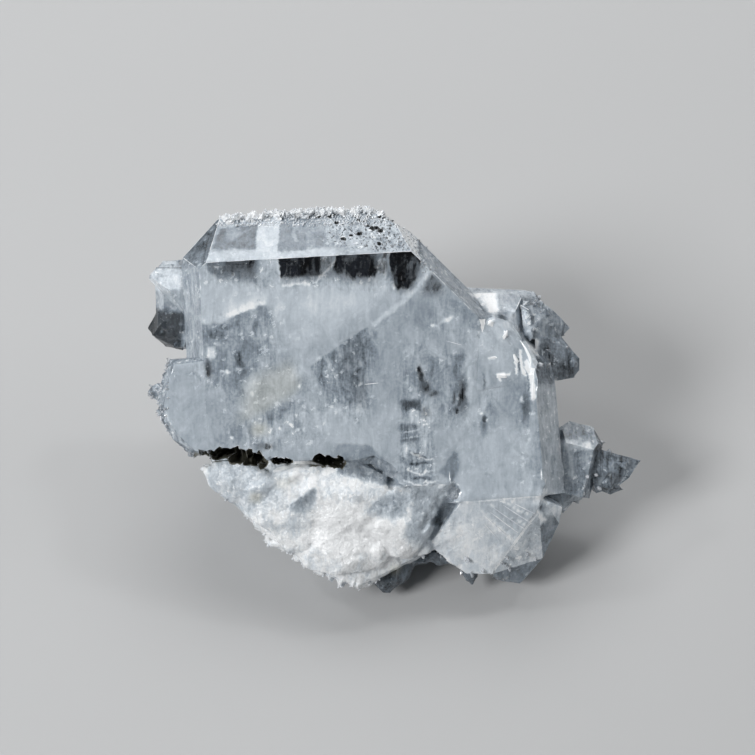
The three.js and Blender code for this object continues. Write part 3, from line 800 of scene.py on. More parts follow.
    windows: tuple[Mark, ...] = (
        Cloud(0.56, ((-25.8, 18, 1), (-24.4, 16.7, 1.8), (-18.8, 16.2, 0.8), (-18.8, 20.4, 0.4),
                     (-25.8, 20.4, 0.6))),
        Cloud(0.86, ((-23.4, 18, 1.8), (-20.6, 17.6, 1.8), (-19.2, 18, 0.8), (-19.2, 20.4, 0.4),
                     (-23.4, 20.4, 0.6))),
        Cloud(0.93, ((-15.7, 16.6, 2), (-12, 16.3, 2.2), (-10, 16.9, 1.2), (-9.4, 20.7, 0.4),
                     (-15.9, 20.5, 0.2))),
        Cloud(0.62, ((-10.2, 16.8, 1.6), (-7.6, 17, 1.6), (-7.4, 20.7, 0.4), (-9.8, 20.7, 0.4))),
        Cloud(0.9, ((-7.7, 16.9, 2.2), (-3.8, 15.9, 2.6), (-2, 16.8, 1.8), (-1.7, 20.8, 0.3),
                    (-7.7, 20.6, 0.4), (-8.3, 18.4, 0.8))),
        Cloud(0.66, ((-2, 17.4, 1.6), (-0.3, 17, 1.2), (-0.2, 20.9, 0.3), (-1.9, 20.9, 0.3))),
        Cloud(0.92, ((-0.4, 17.4, 0.7), (0.6, 14.9, 1.5), (2.8, 15, 1.8), (3.7, 16.8, 1), (4.4, 19.4, 0.7),
                     (4, 21, 0.5), (-0.4, 21, 0.3))),
        Cloud(0.74, ((4.2, 14.6, 2), (6.4, 14.1, 2.2), (7.5, 15.4, 1), (5.5, 17.9, 0.6))),
        Spot(0.74, (-25.8, 4.1), (0.6, 1.4), lean=6, soft=1),
        Spot(0.6, (-17.8, -6.8), (1.3, 0.5), soft=1),
        Spot(0.4, (-5.6, 5.4), (1.9, 3.2), lean=-16, soft=1.2),
        Spot(0.44, (-4.6, 1.2), (1.3, 2.6), soft=1.2),
        Spot(0.62, (4.1, 3.3), (0.5, 1.4), lean=8, soft=1),
        Spot(0.66, (4.6, 1.5), (0.7, 1.2), lean=20, soft=1),
        Spot(0.56, (5.8, 0.6), (0.9, 0.4), soft=1),
        Spot(0.58, (2.6, -0.9), (1.3, 0.6), soft=1),
        Spot(0.5, (4.7, -1.9), (0.8, 0.8), soft=1),
        Spot(0.36, (2.6, -4), (1.2, 0.3)),
        Spot(0.34, (2.6, -5.9), (1, 0.3)),
        Spot(0.5, (3.7, -8.1), (1.2, 0.3), lean=-24),
        Spot(0.52, (9.8, 1.5), (0.8, 1.6), soft=1.1),
        Spot(0.58, (9.9, -0.5), (0.7, 1.7), soft=1.1),
        Spot(0.42, (8.7, -0.1), (0.35, 1.1), soft=1),
        Spot(0.4, (9, -1.7), (0.7, 0.6), soft=1),
        Streak(0.7, ((9.9, 1.9), (9.8, 0.4), (9.4, -1.2)), 0.24),
        Spot(0.8, (9, -1.9), (0.2, 0.45)),
        Streak(0.74, ((8.7, 0.6), (8.5, -0.8)), 0.13),
        Streak(0.8, ((3.9, 4.1), (4.1, 2.6), (4.8, 1.2)), 0.3),
        Spot(0.72, (6.1, 0.7), (0.22, 0.24)),
        Spot(0.62, (5.4, 0.4), (0.3, 0.2)),
        Spot(0.5, (12.9, 2), (0.25, 0.8)),
        Spot(0.54, (12.9, -2.8), (0.35, 0.5)),
        Spot(0.46, (18.7, -1.4), (0.5, 1.7), soft=1),
    )
    flaws: tuple[Mark, ...] = (
        Cloud(0.7, ((-28.4, 2, 3), (-21, -1, 3), (-15, 6, 3), (-16, 13, 1.5), (-25, 12, 1), (-28.4, 10, 2))),
        Cloud(0.55, ((-24, -8, 2), (-10, -7, 2), (-8, 0, 3), (-14, 6, 3), (-24, 0, 3))),
        Cloud(0.9, ((-20.4, -7, 2), (-12, -6, 2), (-12, -2, 1), (-16, -1, 0.6), (-20.4, -3, 0.6))),
        Cloud(1, ((-11.4, 4.4, 0.5), (-9.6, 0.4, 3), (-6, -4, 3), (-3.4, -3, 3), (-2.2, 3, 2), (-2.6, 9.9, 1),
                  (-3.4, 10.1, 0.3))),
        Cloud(0.75, ((1, -3, 2), (11, -4, 2), (11, 6, 2), (3, 8, 3), (1, 4, 2))),
        Cloud(1, ((0.8, -13, 0.6), (6.6, -13, 0.8), (5.4, -1, 1.5), (1, -1, 1))),
        Cloud(0.8, ((-28, 15.8, 2), (8, 14.6, 2), (8, 22, 0.5), (-28, 22, 0.5))),
        Cloud(0.5, ((5, 9, 2), (14, 7, 2), (13, 12, 2), (6, 15, 2))),
        Cloud(0.45, ((17.6, -14, 3), (24, -14, 1), (22, 3, 1), (17, 3, 2))),
        Cloud(0.6, ((11.6, -4.4, 1), (14.4, -4, 1), (15.4, 1.4, 1.5), (12.6, 1, 1.5))),
    )
    end_fog: tuple[Mark, ...] = (
        Cloud(0.56, ((-27, 19, 0.3), (-8, 19.4, 0.6), (-8, 21, 0.6), (-27, 20.6, 0.4))),
        Cloud(0.04, ((-25.4, 20.9, 0.4), (-19.2, 21, 0.3), (-19.2, 24.6, 0.4), (-24.4, 24.2, 0.6))),
        Spot(0.26, (-22.8, 23.2), (1, 0.9), lean=30, soft=1.2),
        Cloud(0.2, ((-16.1, 20.6, 0.3), (-9.4, 21, 1.4), (-9.2, 25.6, 1.4), (-15.9, 25.4, 0.2))),
        Streak(0.4, ((-13.6, 24.8), (-14, 23.4), (-13.4, 22.2)), 0.26),
        Spot(0.26, (-11, 24.4), (0.9, 0.7), soft=1.2),
        Cloud(0.66, ((-19.2, 19, 0.2), (-16.2, 19, 0.15), (-15.9, 26, 0.2), (-19, 26, 0.3))),
    )
    end_flaws: tuple[Mark, ...] = (
        Cloud(1.35, ((-9.6, 21.8, 1), (-3, 20.4, 1), (5, 20, 1), (4, 28, 1), (-9, 28, 1.4))),
        Cloud(2, ((-7.2, 23.2, 0.8), (-1, 21.4, 0.8), (2, 22.2, 0.8), (0.6, 25, 0.8), (-6.4, 26.4, 0.8))),
    )
    mass_fog: tuple[Mark, ...] = (
        Cloud(0.66, ((-26, -16, 2), (-16, -17, 3), (-14, -9, 2), (-26, -8, 1))),
        Cloud(0.38, ((-14.6, -15.2, 0.6), (-11.2, -17.2, 0.8), (-10.6, -12.4, 0.4))),
        Cloud(0.34, ((-2.6, -10.4, 0.6), (-1.6, -12.4, 0.4), (0.8, -12.4, 0.4), (-1.2, -9.4, 0.4))),
        Cloud(0.26, ((-7.6, -10.6, 1.2), (-0.4, -12.4, 1), (3, -13, 0.4), (1.6, -10.4, 0.4),
                     (-1.6, -7.6, 0.4), (-7.8, -7.8, 0.4))),
        Cloud(0.38, ((-5, -16.6, 1.6), (1, -17, 1.6), (3.6, -13, 1.6), (-1, -13.6, 1))),
        Spot(0.66, (-13, -18), (2.4, 1.4), lean=20, soft=1.4),
        Cloud(0.52, ((2, -20, 2.5), (6, -22, 2.5), (10, -12, 2), (3, -12, 2))),
        Cloud(0.12, ((5.4, -17.8, 0.6), (7.4, -18, 0.6), (10.6, -13, 0.6), (8.6, -12, 0.6))),
        Spot(0.86, (-17.4, -16.4), (1.6, 1.4), soft=1.2),
        Spot(1.1, (-6, -19), (6, 3.6), lean=-10, soft=1.2),
    )
    mass_clear: tuple[Mark, ...] = (
        Cloud(0.22, ((-2.6, -10.4, 0.6), (-1.6, -12.4, 0.5), (0.8, -12.4, 0.5), (-1.2, -9.4, 0.4))),
        Cloud(0.22, ((-7.6, -10.2, 0.8), (-0.4, -12, 0.8), (1.6, -10.4, 0.4), (-1.6, -7.6, 0.4),
                     (-7.8, -7.8, 0.4))),
        Cloud(0.24, ((-13.8, -14.6, 0.5), (-11, -16.6, 0.8), (-10.6, -12.6, 0.4))),
        Cloud(0.4, ((5.4, -17.8, 0.6), (7.4, -18, 0.6), (10.6, -13, 0.6), (8.6, -12, 0.5))),
    )
    foot_fog: tuple[Mark, ...] = (
        Cloud(0.56, ((12.4, -14.4, 0.6), (14.4, -18.2, 1.2), (18.6, -20.4, 1.2), (22, -15, 1))),
        Spot(0.84, (9.4, -20.4), (2.8, 2.6), soft=1.3),
        Spot(0.86, (14, -22.6), (2, 1.6), soft=1.3),
        # Painted highlights: bright streaks along the foot's striations.
        Streak(0.95, ((15.4, -14.4), (20.4, -17.2)), 0.12),
        Streak(0.9, ((13.8, -14.8), (19.2, -18.2)), 0.1),
        Streak(0.9, ((12.6, -16.4), (16.8, -19.8)), 0.1),
        Streak(0.85, ((12.4, -15.6), (14.6, -18.8)), 0.1),
    )
    side_fog: tuple[Mark, ...] = (
        Cloud(0.32, ((-31, -6, 1), (-25.4, -6, 1), (-25.4, 20, 1), (-31, 20, 0.6))),
        Cloud(0.06, ((-31, 18.6, 1), (-24.4, 18.6, 0.6), (-23.6, 26, 0.6), (-31, 26, 0.6))),
        Cloud(0.6, ((-35, 15.4, 0.5), (-30.2, 15.2, 0.5), (-30.2, 18.6, 0.5), (-35, 18.6, 0.5))),
        Cloud(0.46, ((-34, 12.8, 0.8), (-30, 12.4, 0.8), (-30, 15.2, 0.5), (-34, 15.4, 0.5))),
        Cloud(-0.22, ((-36, 6, 1), (-30.2, 6, 1), (-30.2, 12.2, 0.8), (-36, 13, 0.8))),
        Cloud(0.4, ((3, 10, 1), (15, 8, 1), (15, 12, 1), (4, 23, 1))),
        Cloud(0.44, ((20.6, -14, 1), (25.4, -14, 1), (24.8, 2.2, 1), (20.6, 2.2, 1))),
        Cloud(0.14, ((19.6, 1.8, 0.6), (29, 1.8, 0.5), (29, 11, 0.5), (21.6, 14.6, 0.6), (18.2, 13.6, 0.6),
                     (18.2, 8, 0.6))),
        Cloud(0.3, ((18.2, 8.4, 0.8), (29, 8.4, 0.8), (24, 15, 0.5), (18.2, 15, 0.5))),
        # Painted light: this cloud lightens the shaded gap beside the blade.
        Cloud(0.56, ((16.4, 7, 0.6), (19.6, 6.6, 0.6), (20.4, 9.2, 0.6), (18.8, 13.6, 0.6),
                     (16.2, 13.6, 0.6))),
        Cloud(0.9, ((18.8, 5.6, 0.3), (20.9, 5.6, 0.3), (20.9, 8.4, 0.4), (18.8, 8.4, 0.4))),
        Cloud(0.46, ((23.4, -17, 0.6), (28.6, -17, 1.2), (28.6, -7, 1.2), (23.4, -6.6, 0.6))),
        Cloud(0.13, ((28.6, -17, 1.2), (37, -17, 0.6), (37, -7.8, 0.6), (28.6, -7, 1.2))),
        # Painted light: the next three clouds lighten the shaded gap under the right plate's lower corner,
        # the ledge over the foot and the crease between foot and strip.
        Cloud(0.62, ((21.4, -16.6, 0.6), (25, -16.4, 0.5), (25.4, -13.4, 0.4), (21.4, -13.4, 0.6))),
        Cloud(0.7, ((10, -14.8, 0.5), (21.6, -14.8, 0.5), (21.8, -12.4, 0.5), (10, -12.6, 0.5))),
        Cloud(0.95, ((13.8, -24.6, 0.4), (15.4, -25, 0.4), (21.8, -17, 0.4), (20.6, -15.4, 0.4))),
        Cloud(0.96, ((10.8, 15, 0.2), (15, 11.4, 0.2), (15.2, 15.2, 0.2))),
        Cloud(0.3, ((15.2, 12, 0.5), (21, 12.6, 0.5), (21, 16, 0.5), (15.2, 16, 0.5))),
        Cloud(0.22, ((23.6, -6.4, 0.3), (29.8, -6.8, 0.3), (29.8, -3.6, 0.3), (23.6, -3.6, 0.3))),
        Cloud(0.72, ((23.8, -7.2, 0.2), (28.4, -7.5, 0.3), (28.4, -6.3, 0.3), (23.8, -5.9, 0.3))),
        Cloud(0.95, ((0.6, 19.4, 0.3), (4, 19.6, 0.3), (3.4, 23.6, 0.4), (-0.6, 26, 0.3))),
    )
    side_clear: tuple[Mark, ...] = (
        Cloud(0.22, ((-31, -6, 1), (-25.4, -6, 1), (-25.4, 21, 1), (-31, 21, 0.6))),
        Cloud(0.04, ((-35, 15.4, 0.4), (-30.2, 15.2, 0.4), (-30.2, 18.6, 0.5), (-35, 18.6, 0.5))),
        Cloud(0.56, ((-36, 6, 1), (-30.2, 6, 1), (-30.2, 12.2, 0.6), (-36, 13, 0.6))),
        Cloud(0.2, ((3, 10, 1), (15, 8, 1), (15, 12, 1), (4, 23, 1))),
        Cloud(0.1, ((20.6, -14, 1), (25.4, -14, 1), (24.8, 2.2, 1), (20.6, 2.2, 1))),
        Cloud(0.32, ((19.6, 1.8, 0.6), (29, 1.8, 0.5), (29, 11, 0.5), (21.6, 14.6, 0.6), (18.2, 13.6, 0.6),
                     (18.2, 8, 0.6))),
        # Less clear in the shaded gap beside the blade, so that the painted light there shows.
        Cloud(0.05, ((16.4, 7, 0.6), (19.6, 6.6, 0.6), (20.4, 9.2, 0.6), (18.8, 13.6, 0.6),
                     (16.2, 13.6, 0.6))),
        Cloud(0.2, ((23.4, -17, 0.6), (37, -17, 0.6), (37, -7.8, 0.6), (28.6, -7, 0.6), (23.4, -6.6, 0.6))),
        # Less clear in the shaded gaps under the right plate and along the foot, for the same painted light.
        Cloud(0.04, ((10, -16.6, 0.5), (25, -16.4, 0.5), (25.4, -13.4, 0.5), (21.8, -12.4, 0.5),
                     (10, -12.6, 0.5))),
        Cloud(0.04, ((13.8, -24.6, 0.4), (15.4, -25, 0.4), (21.8, -17, 0.4), (20.6, -15.4, 0.4))),
        Cloud(0.04, ((11.2, 15, 0.3), (15, 12.2, 0.3), (15.2, 15.2, 0.3))),
        Cloud(0.3, ((23.6, -6.4, 0.3), (29.8, -6.8, 0.3), (29.8, -3.6, 0.3), (23.6, -3.6, 0.3))),
        Cloud(0.04, ((0.6, 19.4, 0.3), (4, 19.6, 0.3), (3.4, 23.6, 0.4), (-0.6, 26, 0.3))),
    )
    side_flaws: tuple[Mark, ...] = (
        Cloud(1.7, ((0.4, 19.2, 0.5), (4.4, 19.4, 0.5), (3.8, 24, 0.5), (-1, 26.4, 0.3))),
        Cloud(1, ((20.4, 1.8, 0.8), (30, 1.8, 0.5), (30, 12, 0.5), (22, 15, 0.6), (18.6, 14.4, 0.8))),
        Cloud(1, ((25.4, -17, 0.8), (37, -17, 0.5), (37, -3, 0.5), (25.4, -3, 0.8))),
    )
    glint_fog: tuple[Mark, ...] = (
        Streak(0.6, ((13.9, 11.8), (14.6, 10.9), (15.5, 9.7)), 0.35),
    )
    crevice_fog: tuple[Mark, ...] = (
        Cloud(0.88, ((-17.2, -11.5, 0.3), (-11.4, -11.5, 0.3), (-11.6, -9.3, 0.25), (-17, -9.4, 0.25))),
        Cloud(0.85, ((-28.6, -11.5, 0.3), (-22.6, -11.5, 0.3), (-22.8, -9.1, 0.25), (-28.6, -9.3, 0.25))),
    )
    warm: tuple[Mark, ...] = (
        Cloud(0.2, ((-21.4, -3.4, 2), (-16.4, -1.4, 2), (-12.6, 1.6, 2), (-14, 5, 3), (-20.4, 2.4, 3))),
        Spot(0.3, (-18.6, -4.4), (1.2, 0.9), soft=1.3),
        Spot(0.35, (-19.2, -14), (0.9, 0.8), soft=1.3),
        Spot(0.2, (-15, -12), (1.4, 0.8), lean=20, soft=1.3),
        Spot(0.3, (0.6, -24.4), (0.9, 0.8), soft=1.3),
    )
    warm_depth: float = -6.0

    def _marks(self, zone: Zone) -> tuple[Sequence[Mark], Sequence[Mark], Sequence[Mark]]:
        """Gives the marks for the milkiness, the clearness and the busyness of one kind of surface."""
        marks = {
            Zone.BROAD: (self.fog, self.windows, self.flaws),
            Zone.STEP: (self.fog, (), ()),
            Zone.END: (self.end_fog, (), self.end_flaws),
            Zone.CREVICE: (self.crevice_fog, (), ()),
            Zone.FOOT: (self.foot_fog, (), ()),
            Zone.MASS: (self.mass_fog, self.mass_clear, ()),
            Zone.GLINT: (self.glint_fog, (), ()),
            Zone.SIDE: (self.side_fog, self.side_clear, self.side_flaws),
        }
        return marks.get(zone, ((), (), ()))

    def look(self, zone: Zone, places: np.ndarray, wander: np.ndarray, tone: np.ndarray) -> Look:
        """Gives the look of places on one kind of surface.

        Args:
            zone: The kind of surface.
            places: Rows of u, v, w.
            wander: Rows of small offsets, which make the marks' edges wander.
            tone: A number from 0 to 1 for each place, the same all over one crystal face.

        Returns:
            The look of each place.
        """
        u, v, w = (places + wander).T
        ground = self.grounds[zone]
        fog, windows, flaws = self._marks(zone)
        lean = tone - 0.5
        milk = ground.milk + lean * ground.milk_tone
        # Painted shade: the crevice is painted less milky deeper in.
        if zone is Zone.CREVICE:
            milk = milk - self.crevice_shade * smooth(w, *self.crevice_lip)
        milk = painted(milk, fog, u, v) + lean * ground.over_tone
        clear = painted(ground.clear + lean * ground.clear_tone, windows, u, v)
        busy = painted(ground.busy, flaws, u, v)
        rough = ground.rough + (busy - ground.busy) * ground.flaw_relief
        return Look(milk, clear, rough, np.full_like(u, ground.dark), busy)

    def iron(self, zone: Zone, places: np.ndarray, wander: np.ndarray, look: Look) -> np.ndarray:
        """Gives how strongly iron stains places on one kind of surface, and in the crevice how strongly an
        olive tint colours them.

        Args:
            zone: The kind of surface.
            places: Rows of u, v, w.
            wander: Rows of small offsets, which make the marks' edges wander.
            look: The look of those places.

        Returns:
            Numbers between 0 and 1.
        """
        u, v, _ = (places + wander).T
        depth = places[:, 2]
        stain = painted(0.0, self.warm, u, v) * (depth > self.warm_depth)
        # Deep in the crevice, where the quartz is least milky, the olive tint is added.
        if zone is Zone.CREVICE:
            stain = stain + self.crevice_olive * smooth(depth, *self.crevice_lip) * (look.milk < 0.4)
        return stain


# ---------------------------------------------------------------- finishes


@dataclass
class Textures:
    """The threads, grains and small facets that every quartz finish shares.

    Attributes:
        wiring: The node tree.
    """

    wiring: Wiring

    def __post_init__(self) -> None:
        """Adds the nodes."""
        self.place = self.wiring.plate_place()
        self.fine = self.wiring.noise(self.place, 2.6, 3.0, 0.6) - 0.5
        self.speckle = self._stretched((3.4, 1.9, 2.6), 2.0)
        self.threads = self._stretched((2.4, 0.36, 1.2), 3.0) - 0.5
        self.clouds = self._stretched((0.55, 0.34, 0.5), 5.0, 0.8) - 0.5

    def _stretched(self, scale: Place, detail: float, swirl: float = 0.0) -> Value:
        """Gives noise that is longer along the c axis.

        Args:
            scale: Clouds per millimetre along u, v and w.
            detail: How many finer octaves it has.
            swirl: How far the noise bends itself.

        Returns:
            A value around 0.5.
        """
        return self.wiring.noise(self.wiring.vector("MULTIPLY", self.place, scale), 1.0, detail, 0.62, swirl)

    def _cells(self, place: Value, scale: float) -> bpy.types.Node:
        """Adds cells.

        Args:
            place: Where they are read, in millimetres.
            scale: Cells per millimetre.

        Returns:
            The node.
        """
        return self.wiring.add("ShaderNodeTexVoronoi", {}, {"Vector": place, "Scale": scale})

    def tilts(self, scale: float) -> Value:
        """Gives the height, in millimetres, of a surface of small facets that each lean their own way."""
        cells = self._cells(self.place, scale)
        away = self.wiring.vector("SUBTRACT", self.place, Value(self.wiring, cells.outputs["Position"]))
        lean = self.wiring.vector("SUBTRACT", Value(self.wiring, cells.outputs["Color"]), (0.5, 0.5, 0.5))
        return self.wiring.vector("DOT_PRODUCT", away, lean)

    def cell_tone(self, scale: float) -> Value:
        """Gives each small cell of the quartz a number of its own, between 0 and 1."""
        place = self.wiring.vector("ADD", self.place, self.fine * 1.4)
        return self.wiring.split(Value(self.wiring, self._cells(place, scale).outputs["Color"]))[0]


@dataclass(frozen=True)
class QuartzFinish:
    """Quartz that is clear in some places and milky in others.

    The clear quartz is plain glass and the milky quartz a white glossy body. The paint on the mesh says how
    much of each there is, and threads, clouds and flecks inside the quartz break its edges up.

    Attributes:
        ior: Quartz's index of refraction.
        clear_tint: Colour of clear quartz.
        window_shade_tint: Colour of the clearest windows: painted shade, for the dark inside of the cluster
            that shows through them.
        absorbed: Colour that is left of white light inside the quartz.
        density: How quickly it is absorbed, per metre.
        glow_depth: How deep light spreads in milky quartz, in metres.
        milk: The quartz's colour from no milk to full milk.
        shade_colour: Painted shade in the crevice and the etched pits.
        iron_tint: Quartz that iron stains, and the olive tint deep in the crevice.
    """

    ior: float = 1.544
    clear_tint: Colour = (0.94, 0.97, 1.0)
    window_shade_tint: Colour = (0.012, 0.015, 0.024)
    absorbed: Colour = (0.76, 0.78, 0.80)
    density: float = 150.0
    glow_depth: float = 0.0009
    milk: tuple[tuple[float, Colour], ...] = (
        (0.0, (0.030, 0.038, 0.045)),
        (0.35, (0.265, 0.312, 0.362)),
        (0.70, (0.590, 0.650, 0.706)),
        (1.0, (0.940, 0.965, 0.985)),
    )
    shade_colour: Colour = (0.022, 0.021, 0.015)
    iron_tint: Colour = (0.66, 0.62, 0.46)

    def material(self, name: str) -> bpy.types.Material:
        """Builds the material.

        Args:
            name: The material's name.

        Returns:
            The material.
        """
        wiring = Wiring(name)
        t = Textures(wiring)
        milk_paint, clear_paint, rough = wiring.attribute("quartz_paint")
        dark, warm, flaws = wiring.attribute("quartz_shade")
        busy, pitted = flaws.clamped(), (flaws - 1.0).clamped()

        # Painted sparkle: a few small cells are painted whiter, as glints. In pitted places the dark flecks
        # are painted shade of small pits.
        spark = t.cell_tone(2.3).rise(0.955, 0.965) * busy
        flecks = t.speckle.rise(0.57, 0.64)
        white = milk_paint * 0.86 + 0.17 + t.clouds * (busy * 0.8 + 0.32) + t.threads * (busy * 0.62 + 0.05)
        white = white + t.fine * (busy * 0.4 + 0.05) - flecks * (busy * 0.06 + pitted * 1.3) + spark * 0.35

        veil = clear_paint + t.threads * 0.5 + t.fine * 0.35 + t.clouds * 1.1
        window = veil.rise(0.3, 0.95) * clear_paint.rise(0.2, 0.5)
        clear = (clear_paint * 0.7 + t.threads * 0.3 * clear_paint).clamped().larger(window) * (1 - dark)

        ramp = wiring.add("ShaderNodeValToRGB", {"stops": self.milk}, {"Fac": white.clamped()})
        colour = wiring.blend(warm, Value(wiring, ramp.outputs[0]), self.iron_tint)
        # Painted shade: where the paint says dark, the colour turns to the shade colour.
        colour = wiring.blend(dark, colour, self.shade_colour)
        # Painted shade: the clearest windows are tinted near black, for the dark seen through them.
        tint = wiring.blend(window * window, self.clear_tint, self.window_shade_tint)

        height = (t.tilts(1.15) * 0.34 + t.tilts(2.7) * 0.3 + t.fine * 0.2) * rough + t.clouds * 0.02
        bump = wiring.bump(1.0, height)
        glass = wiring.body({**GLASS_SOCKETS, "Base Color": tint, "IOR": self.ior, "Normal": bump})
        milk = wiring.body({
            "Base Color": colour,
            "Roughness": 0.08 + rough * 0.16,
            "IOR": self.ior,
            "Subsurface Weight": 0.35,
            "Subsurface Radius": (1.0, 1.0, 1.0),
            "Subsurface Scale": self.glow_depth,
            "Normal": bump,
        })
        surface = wiring.add("ShaderNodeMixShader", sockets={0: clear, 1: milk, 2: glass})
        inside = {"Color": (*self.absorbed, 1.0), "Density": self.density}
        return wiring.finish(surface, wiring.add("ShaderNodeVolumeAbsorption", sockets=inside))


@dataclass(frozen=True)
class RidgeHighlightFinish:
    """White on the ridges along the crystals' edges: painted highlights, duller in places."""

    colour: Colour = (0.93, 0.95, 0.97)
    dull_colour: Colour = (0.70, 0.74, 0.80)

    def material(self, name: str) -> bpy.types.Material:
        """Builds the material.

        Args:
            name: The material's name.

        Returns:
            The material.
        """
        wiring = Wiring(name)
        # Painted highlight: the ridges are painted white, duller in places.
        colour = wiring.blend(Textures(wiring).clouds.rise(-0.1, 0.1), self.dull_colour, self.colour)
        return wiring.finish(wiring.body({"Base Color": colour, "Roughness": 0.1}))


@dataclass(frozen=True)
class DruseFinish:
    """Fine crystals: clear with milky roots."""

    ior: float = 1.544
    clear_tint: Colour = (0.96, 0.98, 1.0)
    milk_white: Colour = (0.92, 0.95, 0.98)
    milk_grey: Colour = (0.45, 0.49, 0.55)

    def material(self, name: str) -> bpy.types.Material:
        """Builds the material.

        Args:
            name: The material's name.

        Returns:
            The material.
        """
        wiring = Wiring(name)
        t = Textures(wiring)
        u, v, _ = wiring.split(t.place)
        crest = v.rise(23.0, 24.5)
        low = v.rise(-8.0, -10.0) * u.rise(9.0, 6.0)
        cell = t.cell_tone(1.2)
        white = 0.62 + (cell - 0.5) * 0.7 + t.fine * 0.5 + crest * 0.4 + low * 0.3
        clear = 0.42 + (cell - 0.5) * 0.8 - crest * 0.5 - low * 0.4
        colour = wiring.blend(white.clamped(), self.milk_grey, self.milk_white)
        bump = wiring.bump(0.5, t.tilts(3.0) * 0.3)
        glass = wiring.body({**GLASS_SOCKETS, "Base Color": (*self.clear_tint, 1.0), "IOR": self.ior})
        milk = wiring.body({"Base Color": colour, "Roughness": 0.12, "IOR": self.ior, "Normal": bump})
        surface = wiring.add("ShaderNodeMixShader", sockets={0: clear.clamped(), 1: milk, 2: glass})
        return wiring.finish(surface)


@dataclass(frozen=True)
class FloorFinish:
    """Plain pale matt paper."""

    colour: Colour = (0.50, 0.505, 0.51)
    darker: float = 0.985

    def material(self, name: str) -> bpy.types.Material:
        """Builds the material.

        Args:
            name: The material's name.

        Returns:
            The material.
        """
        wiring = Wiring(name)
        tone = wiring.noise(wiring.plate_place(), 0.02, 2.0)
        colour = wiring.blend(tone, self.colour, tuple(part * self.darker for part in self.colour))
        return wiring.finish(wiring.body({"Base Color": colour, "Roughness": 0.8}))


# ---------------------------------------------------------------- the cluster


